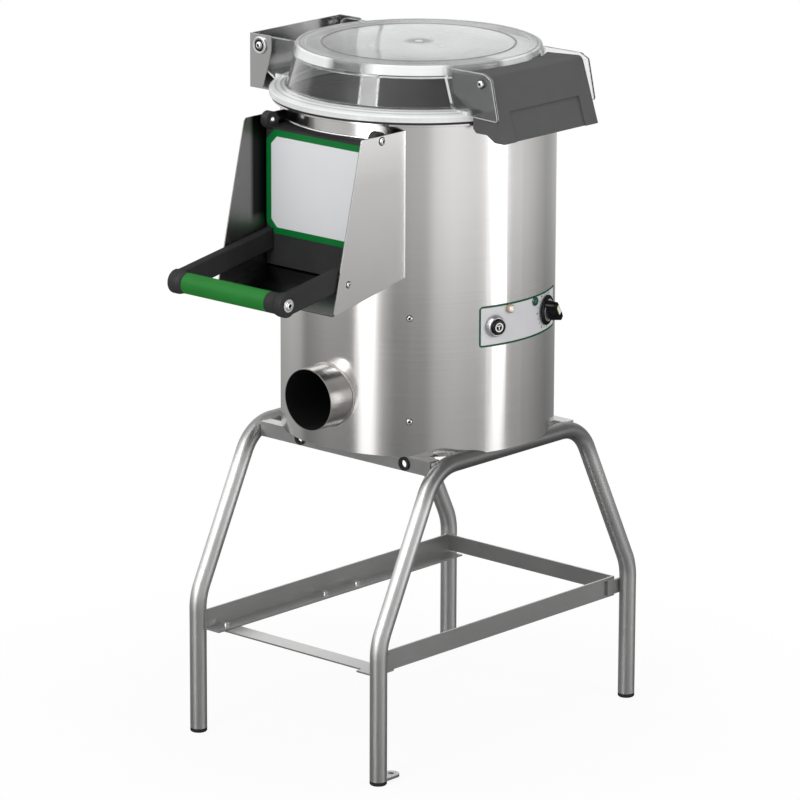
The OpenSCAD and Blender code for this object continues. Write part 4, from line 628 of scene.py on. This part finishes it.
def screw(bm, at, axis, r, h, shank=0.0, length=0.0, spin=0.0, shadow_ring=0.0):
    """A button-head screw with a hexagon socket. Its head has the radius r and the height h and stands
    on the point at, and its last argument is the outer radius of the ring of painted shadow round the head."""
    screws_awaiting_shade.append((at, axis, r, h, spin, shadow_ring))
    socket = 0.48 * r
    profile = [(shank, -length), (shank, 0)] if shank else []
    profile += [(r, 0), (r, 0.30 * h), (0.96 * r, 0.55 * h), (0.86 * r, 0.78 * h), (0.70 * r, 0.93 * h),
                (0.58 * r, h), (socket * 1.06, h)]
    first = len(profile)
    profile += [(socket, 0.97 * h), (socket, 0.35 * h), (socket * 0.5, 0.22 * h)]
    lathe(bm, profile, stand_on(at, axis, spin), hexagons=(first, first + 1))


def paint_socket_shade(name, body):
    """Painted shade: the dark bottoms of the sockets, and the painted shadows round the heads, of the screws
    made since the last call.
    """
    bm = bmesh.new()
    for at, axis, r, h, spin, shadow_ring in screws_awaiting_shade:
        f = stand_on(at, axis, spin)
        s = 0.47 * r
        ink = [(s, 0.30 * h), (s, 0.80 * h), (0.4 * s, 0.62 * h), (0.05 * s, 0.60 * h)]
        lathe(bm, ink, f, hexagons=(0, 1))
        if shadow_ring:
            lathe(bm, [(r * 0.9, 0.02), (shadow_ring, 0.02), (shadow_ring, 0.30), (r * 0.99, 0.55), (r * 0.9, 0.55)], f)
    screws_awaiting_shade.clear()
    piece(name, bm, "ink", body)


def bead(bm, points, r, ripple, step, sides=8):
    """A closed weld bead along points given in metres, with the ripples of a hand weld."""
    rings = []
    run = 0.0
    for i, point in enumerate(points):
        before, after = points[i - 1], points[(i + 1) % len(points)]
        if i:
            run += (point - before).length * MM
        k = r * (1 + ripple * math.sin(2 * math.pi * run / step))
        f = stand_on(point, (after - before).normalized())
        turns = [2 * math.pi * j / sides for j in range(sides)]
        rings.append([put_vert(bm, f, k * math.cos(t), k * math.sin(t), 0) for t in turns])
    skin(bm, rings + [rings[0]])


def on_drum(r, angle, z):
    """A point at a distance from the drum axis, at an angle and a height, in mm."""
    return row(r * math.cos(math.radians(angle)), r * math.sin(math.radians(angle)), z)


def outward(angle):
    """The direction away from the drum axis at an angle."""
    return Vector((math.cos(math.radians(angle)), math.sin(math.radians(angle)), 0))


# Screws and pins with domed heads and sockets
BOTH_SIDES = (-1, 1)
CHEEK_OUT = CHEEK_HALF + CHEEK_WALL
bm = bmesh.new()
for angle in WALL_SCREW_ANGLES:
    for z in WALL_SCREW_HEIGHTS:
        at = on_drum(DRUM_R - WALL_SCREW_SINK, angle, z)
        screw(bm, at, outward(angle), r=4.2, h=2.7, shank=2, length=6, spin=15, shadow_ring=4.9)
for s in BOTH_SIDES:
    at = row(CHUTE_X + s * CHEEK_OUT, CHUTE_SCREW_Y, CHUTE_SCREW_Z)
    screw(bm, at, (s, 0, 0), r=4.3, h=2.5, shank=2, length=2, spin=10, shadow_ring=5.2)
piece("wall_screw_heads", bm, "chrome", "machine", "wall_screws")
bm = bmesh.new()
for s in BOTH_SIDES:
    at = row(CHUTE_X + s * CHEEK_OUT, PIVOT_Y, PIVOT_Z)
    screw(bm, at, (s, 0, 0), r=5.4, h=3.6, shank=4, length=16, spin=5, shadow_ring=6.4)
piece("door_pivot_screws", bm, "chrome", "machine", "door_pins")
paint_socket_shade("machine_sockets", "machine")
bm = bmesh.new()
for s in BOTH_SIDES:
    at = row(LATCH_X, s * LATCH_HALF, LATCH_Z)
    screw(bm, at, (0, s, 0), r=5.6, h=3.8, shank=4, length=10, spin=20, shadow_ring=6.4)
piece("latch_pivot_screws", bm, "chrome", "lid", "latch_pins")
paint_socket_shade("latch_sockets", "lid")
BUSH = [(4, -10), (4, 0), (12.2, 0), (13, 0.6), (13, 2.2), (12.2, 3), (9.4, 3), (8.6, 2.5), (6.4, 2.5),
        (5.6, 3), (4.5, 3)]
bm = bmesh.new()
for s in BOTH_SIDES:
    lathe(bm, BUSH, stand_on(row(HINGE_X, s * BUSH_HALF, HINGE_Z), (0, s, 0)))
    screw(bm, row(HINGE_X, s * BUSH_SCREW_HALF, HINGE_Z), (0, s, 0), r=5.2, h=2.9, spin=12, shadow_ring=9.0)
piece("hinge_pin_bushes", bm, "chrome", "machine", "hinge_pins")
paint_socket_shade("bush_sockets", "machine")
WASHER = [(4, 0), (9.1, 0), (9.5, 0.4), (9.5, 1.1), (9.1, 1.5), (4, 1.5)]
bm = bmesh.new()
for s in BOTH_SIDES:
    lathe(bm, WASHER, stand_on(row(CHUTE_X + s * ARM_OUT, HANDLE_Y, HANDLE_Z), (s, 0, 0)))
    screw(bm, row(CHUTE_X + s * ARM_SCREW_HALF, HANDLE_Y, HANDLE_Z), (s, 0, 0), r=6.6, h=2.9, spin=8)
piece("handle_end_screws", bm, "chrome", "door", "handle_screws")
paint_socket_shade("handle_sockets", "door")

# Door arms with rounded edges, each from a round end at the handle up to the door
slope = math.atan2(ARM_RISE, ARM_REACH)


def arm_point(along, across):
    """A point of the arm's outline as (y, z), from the handle along the arm and across it."""
    return (HANDLE_Y + along * math.cos(slope) - across * math.sin(slope),
            HANDLE_Z + along * math.sin(slope) + across * math.cos(slope))


END_STEPS = 28
arm_length = ARM_REACH / math.cos(slope)
lean = ARM_HALF * math.tan(slope)
outline = [arm_point(arm_length - lean, -ARM_HALF), arm_point(arm_length + lean, ARM_HALF)]
for i in range(END_STEPS + 1):
    t = math.radians(ARM_END_ANGLE + (360 - 2 * ARM_END_ANGLE) * i / END_STEPS)
    outline.append(arm_point(ARM_END_R * math.cos(t), ARM_END_R * math.sin(t)))
bm = bmesh.new()
for s in BOTH_SIDES:
    rings = [[bm.verts.new(row(CHUTE_X + s * x, y, z)) for y, z in outline] for x in (ARM_IN, ARM_OUT)]
    skin(bm, rings)
    cap(bm, *rings)
soften(piece("door_arm_pair", bm, "arm", "door", "door_arms"), 2.4)

# A bar with a green grip between two collars
GRIP = [(8, -85.4), (14.2, -85.4), (15, -84.6), (15, 74.7), (14.2, 75.4), (8, 75.4)]
LEFT_COLLAR = [(8, -96), (16.9, -96), (16.6, -94.4), (15.6, -92), (15, -89), (15, -86.2), (14.4, -85.6),
               (8, -85.6)]
RIGHT_COLLAR = [(8, 75.6), (14.4, 75.6), (15, 76.2), (15, 89), (15.6, 92), (16.6, 94.4), (16.9, 96), (8, 96)]
BAR = [(8, -109), (8, 109)]
f = stand_on(row(CHUTE_X, HANDLE_Y, HANDLE_Z), (1, 0, 0))
turned("green_grip", GRIP, f, 64, "grip", "door", "handle_grip")
bm = bmesh.new()
lathe(bm, LEFT_COLLAR, f, 64)
lathe(bm, RIGHT_COLLAR, f, 64)
lathe(bm, BAR, f, 32)
piece("grip_collars", bm, "arm", "door", "handle_rod")

# Rolled steel lip on the drum over the top of the door
LIP = ((200.0, 911.2), (201.6, 911.4), (202.3, 912.4), (202.2, 913.6), (201.4, 914.6), (200.0, 915.0))
LIP_FROM, LIP_TURN, LIP_STEPS = -121, 62, 60
bm = bmesh.new()
rings = []
for i in range(LIP_STEPS + 1):
    angle = LIP_FROM + LIP_TURN * i / LIP_STEPS
    rings.append([bm.verts.new(on_drum(r, angle, z)) for r, z in LIP])
skin(bm, rings)
cap(bm, rings[0], rings[-1])
piece("opening_lip", bm, "chrome", "machine")

# Weld bead at the root of the drain pipe
WELD_POINTS, WELD_OUT = 150, 0.4
points = []
for i in range(WELD_POINTS):
    t = 2 * math.pi * i / WELD_POINTS
    x = CHUTE_X + DRAIN_R * math.cos(t)
    points.append(row(x, -math.sqrt(DRUM_R ** 2 - x ** 2) - WELD_OUT, DRAIN_Z + DRAIN_R * math.sin(t)))
bm = bmesh.new()
bead(bm, points, r=1.3, ripple=0.18, step=3.0)
piece("drain_weld", bm, "weld", "machine")


# Control panel with its green line, dial ticks, button, lamps and knob
def on_panel(r, across, z):
    """A point at a distance from the drum axis, at a way across the panel from its middle."""
    return on_drum(r, PANEL_ANGLE + math.degrees(math.asin(across / PANEL_R)), z)


def panel_ring(inset, r):
    """The points of the panel's outline, moved inwards and laid round the drum at a radius."""
    corner = PANEL_CORNER - inset
    mid_x, mid_z = PANEL_HALF_X - PANEL_CORNER, PANEL_HALF_Z - PANEL_CORNER
    arcs = []
    for quarter, (sx, sz) in enumerate(((1, 1), (-1, 1), (-1, -1), (1, -1))):
        turns = [math.radians(90 * quarter + 15 * i) for i in range(7)]
        arcs.append([(sx * mid_x + corner * math.cos(t), sz * mid_z + corner * math.sin(t)) for t in turns])
    path = []
    for quarter, arc in enumerate(arcs):
        (x0, z0), (x1, z1) = arc[-1], arcs[(quarter + 1) % 4][0]
        steps = 6 if quarter % 2 else 24
        path += arc
        path += [(x0 + (x1 - x0) * i / steps, z0 + (z1 - z0) * i / steps) for i in range(1, steps)]
    return [on_panel(r, x, PANEL_Z + z) for x, z in path]


LINE_SECTION = ((0.2, 200.5), (0.2, 200.8), (3.0, 200.8), (3.0, 200.5))
bm = bmesh.new()
rings = [[bm.verts.new(point) for point in panel_ring(inset, r)] for inset, r in LINE_SECTION]
skin(bm, rings + [rings[0]])
piece("panel_line", bm, "line", "machine")

# The ticks of the dial, each third one long, as (inner radius, outer radius, half width)
LONG_TICK, SHORT_TICK = (24.4, 28.0, 0.75), (24.4, 26.4, 0.5)
TICKS, FIRST_TICK, TICK_STEP = 13, -30, 20
TICK_LOW, TICK_HIGH = PANEL_R - 0.1, PANEL_R + 0.12
TICK_FACES = ((4, 5, 6, 7), (0, 1, 5, 4), (1, 2, 6, 5), (2, 3, 7, 6), (3, 0, 4, 7))
knob_across = PANEL_R * math.sin(math.radians(KNOB_ANGLE - PANEL_ANGLE))
bm = bmesh.new()
for i in range(TICKS):
    t = math.radians(FIRST_TICK + TICK_STEP * i)
    inner, outer, half = SHORT_TICK if i % 3 else LONG_TICK
    corners = []
    for level in (TICK_LOW, TICK_HIGH):
        for r, v in ((inner, -half), (inner, half), (outer, half), (outer, -half)):
            across = knob_across - r * math.sin(t) - v * math.cos(t)
            z = KNOB_Z + r * math.cos(t) - v * math.sin(t)
            corners.append(bm.verts.new(on_panel(level, across, z)))
    for face in TICK_FACES:
        bm.faces.new([corners[number] for number in face])
piece("dial_ticks", bm, "ink", "machine", smooth=False)

# Push button in its bezel, with a white face, a dark disc and a T-shaped mark
BEZEL = [(11.4, -2), (16.2, -2), (16.2, 2.0), (15.6, 4.2), (14.8, 6.4), (14.0, 8.2), (13.2, 8.9), (12.2, 9),
         (11.6, 8.6), (11.4, 7.6)]
BUTTON = [(4, -8), (4, 3.4), (11.2, 3.4), (11.2, 11.2), (10.8, 12.1), (10.0, 12.5), (7.0, 12.5), (6.8, 12.1),
          (6.8, 11.6)]
BUTTON_FACE = [(6.8, 11.2), (6.8, 12.3), (6.5, 12.55), (5.2, 12.55), (4.9, 12.3), (4.9, 11.8)]
BUTTON_DISC = [(4.9, 11.6), (4.9, 11.9), (2, 12.0), (0.3, 12.0)]
MARK_BARS = ((-0.7, 0.7, -3.6, 1.4), (-3.2, 3.2, 1.3, 2.7))
MARK_LOW, MARK_HIGH = 11.9, 12.3
f = stand_on(on_drum(PANEL_R, BUTTON_ANGLE, BUTTON_Z), outward(BUTTON_ANGLE))
turned("start_bezel", BEZEL, f, 72, "bezel", "machine", "button_bezel")
turned("start_body", BUTTON, f, 64, "knob", "button", "start_button")
turned("start_face", BUTTON_FACE, f, 64, "white", "button")
turned("start_disc", BUTTON_DISC, f, 48, "ink", "button")
bm = bmesh.new()
for x0, x1, y0, y1 in MARK_BARS:
    corners = ((x0, y0), (x1, y0), (x1, y1), (x0, y1))
    rings = [[put_vert(bm, f, x, y, h) for x, y in corners] for h in (MARK_LOW, MARK_HIGH)]
    skin(bm, rings)
    cap(bm, rings[1])
piece("start_mark", bm, "white", "button", smooth=False)

# Pilot lamps as (name, node, angle, height, look of the collar, look of the lens, slot)
LAMPS = (
    ("power", "pilot_lamp_power", -7.5, 8, "beige", "lens_white", "lamp_amber"),
    ("run", "pilot_lamp_run", 8.7, 4, "lampgreen", "lampgreen", "lamp_green"))
for name, node, angle, out, collar_look, lens_look, slot in LAMPS:
    f = stand_on(on_drum(PANEL_R, angle, LAMP_Z), outward(angle))
    collar = [(3.9, -6), (3.9, -1), (6.5, -1), (6.5, out * 0.45), (6.1, out * 0.62), (4.9, out * 0.66),
              (4.6, out * 0.5)]
    lens = [(4.6, out * 0.4), (4.6, out * 0.62), (4.3, out * 0.8), (3.4, out * 0.93), (2.0, out), (0.4, out)]
    turned(name + "_lamp_collar", collar, f, 48, collar_look, "machine", node)
    turned(name + "_lamp_lens", lens, f, 40, lens_look, "machine")

# Timer knob: a skirt, a bar with a cream pointer and a steel ring
SKIRT = [(3, -20), (3, 0), (21.6, 0), (22, 0.5), (22, 1.6), (21.2, 2.6), (19.4, 3.3), (17.2, 3.9),
         (14.6, 4.0), (12, 4.0)]
BAR_LEVELS = ((18.5, 6.2, 3.4), (18.3, 5.9, 8.0), (17.8, 5.4, 15.0), (17.2, 5.0, 20.0))
BAR_CORNER_SHARES = ((1.0, 0.55), (0.93, 0.9), (0.7, 1.0))
POINTER = ((-4.0, -3.6), (9.5, -3.6), (11.5, -2.2), (11.5, 2.2), (9.5, 3.6), (-4.0, 3.6))
POINTER_LEVELS = ((1.0, 17.0), (1.0, 20.2), (0.86, 20.7))
DIAL_RING = [(8, 3.6), (16.8, 3.6), (16.2, 4.35), (12.0, 4.6), (8, 4.6)]
f = stand_on(on_drum(KNOB_SEAT_R, KNOB_ANGLE, KNOB_Z), outward(KNOB_ANGLE))
tilted = f @ Matrix.Rotation(math.radians(KNOB_TURN), 4, "Z")
turned("knob_skirt", SKIRT, f, 72, "knob", "knob", "timer_knob")
back = BAR_CORNER_SHARES[::-1]
bar_shares = [(-x, -y) for x, y in BAR_CORNER_SHARES] + [(x, -y) for x, y in back]
bar_shares += [(x, y) for x, y in BAR_CORNER_SHARES] + [(-x, y) for x, y in back]
bm = bmesh.new()
rings = []
for long, wide, h in BAR_LEVELS:
    rings.append([put_vert(bm, tilted, x * long, y * wide, h) for x, y in bar_shares])
skin(bm, rings)
cap(bm, rings[-1])
soften(piece("knob_bar", bm, "knob", "knob"), 0.8)
bm = bmesh.new()
rings = []
for width_share, h in POINTER_LEVELS:
    rings.append([put_vert(bm, tilted, x, y * width_share, h) for x, y in POINTER])
skin(bm, rings)
cap(bm, rings[-1])
piece("knob_pointer", bm, "cream", "knob", smooth=False)
turned("knob_dial_ring", DIAL_RING, f, 72, "bezel", "knob")

# Floor: white for the camera and through the lid, clear for reflections, which it darkens near the
# object, and a pale diffuse ground for all other light
# By distance from the middle in metres: how much of the white shows, and how much of a reflection
# the floor lets through
FLOOR_R = 5.0
FLOOR_SHOWN = [(0.30, 0.92), (0.90, 1.0)]
FLOOR_CLEAR = [(0.0, 0.22), (0.60, 0.30), (1.05, 0.38), (1.75, 0.44), (2.70, 0.60), (3.50, 0.90), (4.0, 1.0)]
WHITE = (1, 1, 1, 1)
bm = bmesh.new()
bmesh.ops.create_circle(bm, cap_ends=True, segments=96, radius=FLOOR_R)
mesh = bpy.data.meshes.new("floor")
bm.to_mesh(mesh)
bm.free()
floor = bpy.data.objects.new("floor", mesh)
bpy.context.scene.collection.objects.link(floor)
mat = bpy.data.materials.new("floor")
mat.use_nodes = True
net = Net(mat.node_tree)
path = net.add("ShaderNodeLightPath").outputs
ground = net.add("ShaderNodeBsdfDiffuse", Color=(0.86, 0.86, 0.86, 1))
shown = net.add("ShaderNodeEmission", Color=WHITE, Strength=1.0)
far = net.add("ShaderNodeVectorMath", p_operation="LENGTH", i0=where(net)).outputs["Value"]
seen = net.larger(path["Is Camera Ray"], path["Is Transmission Ray"])
seen = net.times(seen, net.ramp(far, FLOOR_SHOWN, "EASE"))
clear = net.add("ShaderNodeBsdfTransparent", Color=net.along(far, FLOOR_R, FLOOR_CLEAR))
surface = net.blend(path["Is Glossy Ray"], net.blend(seen, ground, shown), clear)
out = net.add("ShaderNodeOutputMaterial")
net.link(surface.outputs[0], out.inputs[0])
floor.data.materials.append(mat)

# A studio with pale and grey walls and two bright soft boxes: what polished steel sees, by compass
# direction, in linear light
STUDIO = [(-180, 0.95), (-164, 0.90), (-157, 0.45), (-130, 0.70), (-112, 0.65), (-105, 0.50),
          (-100, 0.75), (-98, 3.5), (-85, 3.5), (-82, 1.2), (-76, 0.75), (-66, 0.48), (-54, 0.60),
          (-41, 0.62), (-34, 0.97), (-20, 1.1), (4, 0.95), (13, 1.2), (17.5, 3.5), (26, 3.5), (31, 0.88),
          (48, 0.84), (86, 0.43), (150, 0.75), (180, 0.95)]
# One soft box with a bright frame, as the sloping wall of the lid sees it, in linear light
STRIP = [(-180, 0), (-103.2, 0), (-103, 14), (-101.4, 14), (-101.2, 5.5), (-86.8, 5.5), (-86.6, 14),
         (-85.2, 14), (-85.0, 0), (180, 0)]
# What faces upwards sees, in linear light
CEILING = [(-180, 1.25), (-165, 1.6), (-140, 2.0), (-112, 2.0), (-95, 1.2), (-40, 0.62), (30, 0.34),
           (80, 0.55), (115, 1.1), (132, 1.45), (150, 1.4), (180, 1.25)]
# Where the ceiling starts, and where rays through the lid stop to see white, on a scale of height
# from 0 straight down to 1 straight up
CEILING_FROM = [(0.600, 0.0), (0.635, 1.0)]
WHITE_UP_TO = [(0.52, 1.0), (0.54, 0.0)]

world = bpy.data.worlds.new("studio")
bpy.context.scene.world = world
world.use_nodes = True
net = Net(world.node_tree)
path = net.add("ShaderNodeLightPath").outputs
way = net.add("ShaderNodeTexCoord").outputs["Generated"]
x, y, z = net.add("ShaderNodeSeparateXYZ", Vector=way).outputs
height = net.plus(net.times(z, 0.5), 0.5)
ceiling = net.mix(1.0, net.compass(x, y, CEILING), net.compass(x, y, STRIP), "ADD")
walls = net.compass(x, y, STUDIO)
soft = net.add("ShaderNodeBackground", Color=WHITE, Strength=0.55)
white = net.add("ShaderNodeBackground", Color=WHITE, Strength=1.0)
room = net.mix(net.ramp(height, CEILING_FROM), walls, ceiling)
studio = net.add("ShaderNodeBackground", Color=room, Strength=1.0)
through_low = net.times(path["Is Transmission Ray"], net.ramp(height, WHITE_UP_TO))
through_high = net.minus(path["Is Transmission Ray"], through_low)
lit = net.blend(net.larger(path["Is Glossy Ray"], through_high), soft, studio)
sky = net.blend(net.larger(path["Is Camera Ray"], through_low), lit, white)
out = net.add("ShaderNodeOutputWorld")
net.link(sky.outputs[0], out.inputs[0])


LAMP_AIM = (0, 0, 0.6)


def area(name, at, width, height, watts):
    """A lamp that points at the middle of the object and that no reflection and no glass shows."""
    lamp = bpy.data.lights.new(name, "AREA")
    lamp.shape, lamp.size, lamp.size_y, lamp.energy = "RECTANGLE", width, height, watts
    o = bpy.data.objects.new(name, lamp)
    o.location = at
    o.rotation_euler = (Vector(LAMP_AIM) - Vector(at)).to_track_quat("-Z", "Y").to_euler()
    o.visible_glossy = o.visible_transmission = False
    bpy.context.scene.collection.objects.link(o)


area("key", (0.6, -3.2, 2.6), 1.6, 2.2, 55)
area("fill", (3.4, 0.6, 2.0), 1.4, 2.0, 30)
area("top", (0, 0, 3.6), 2.4, 2.4, 18)
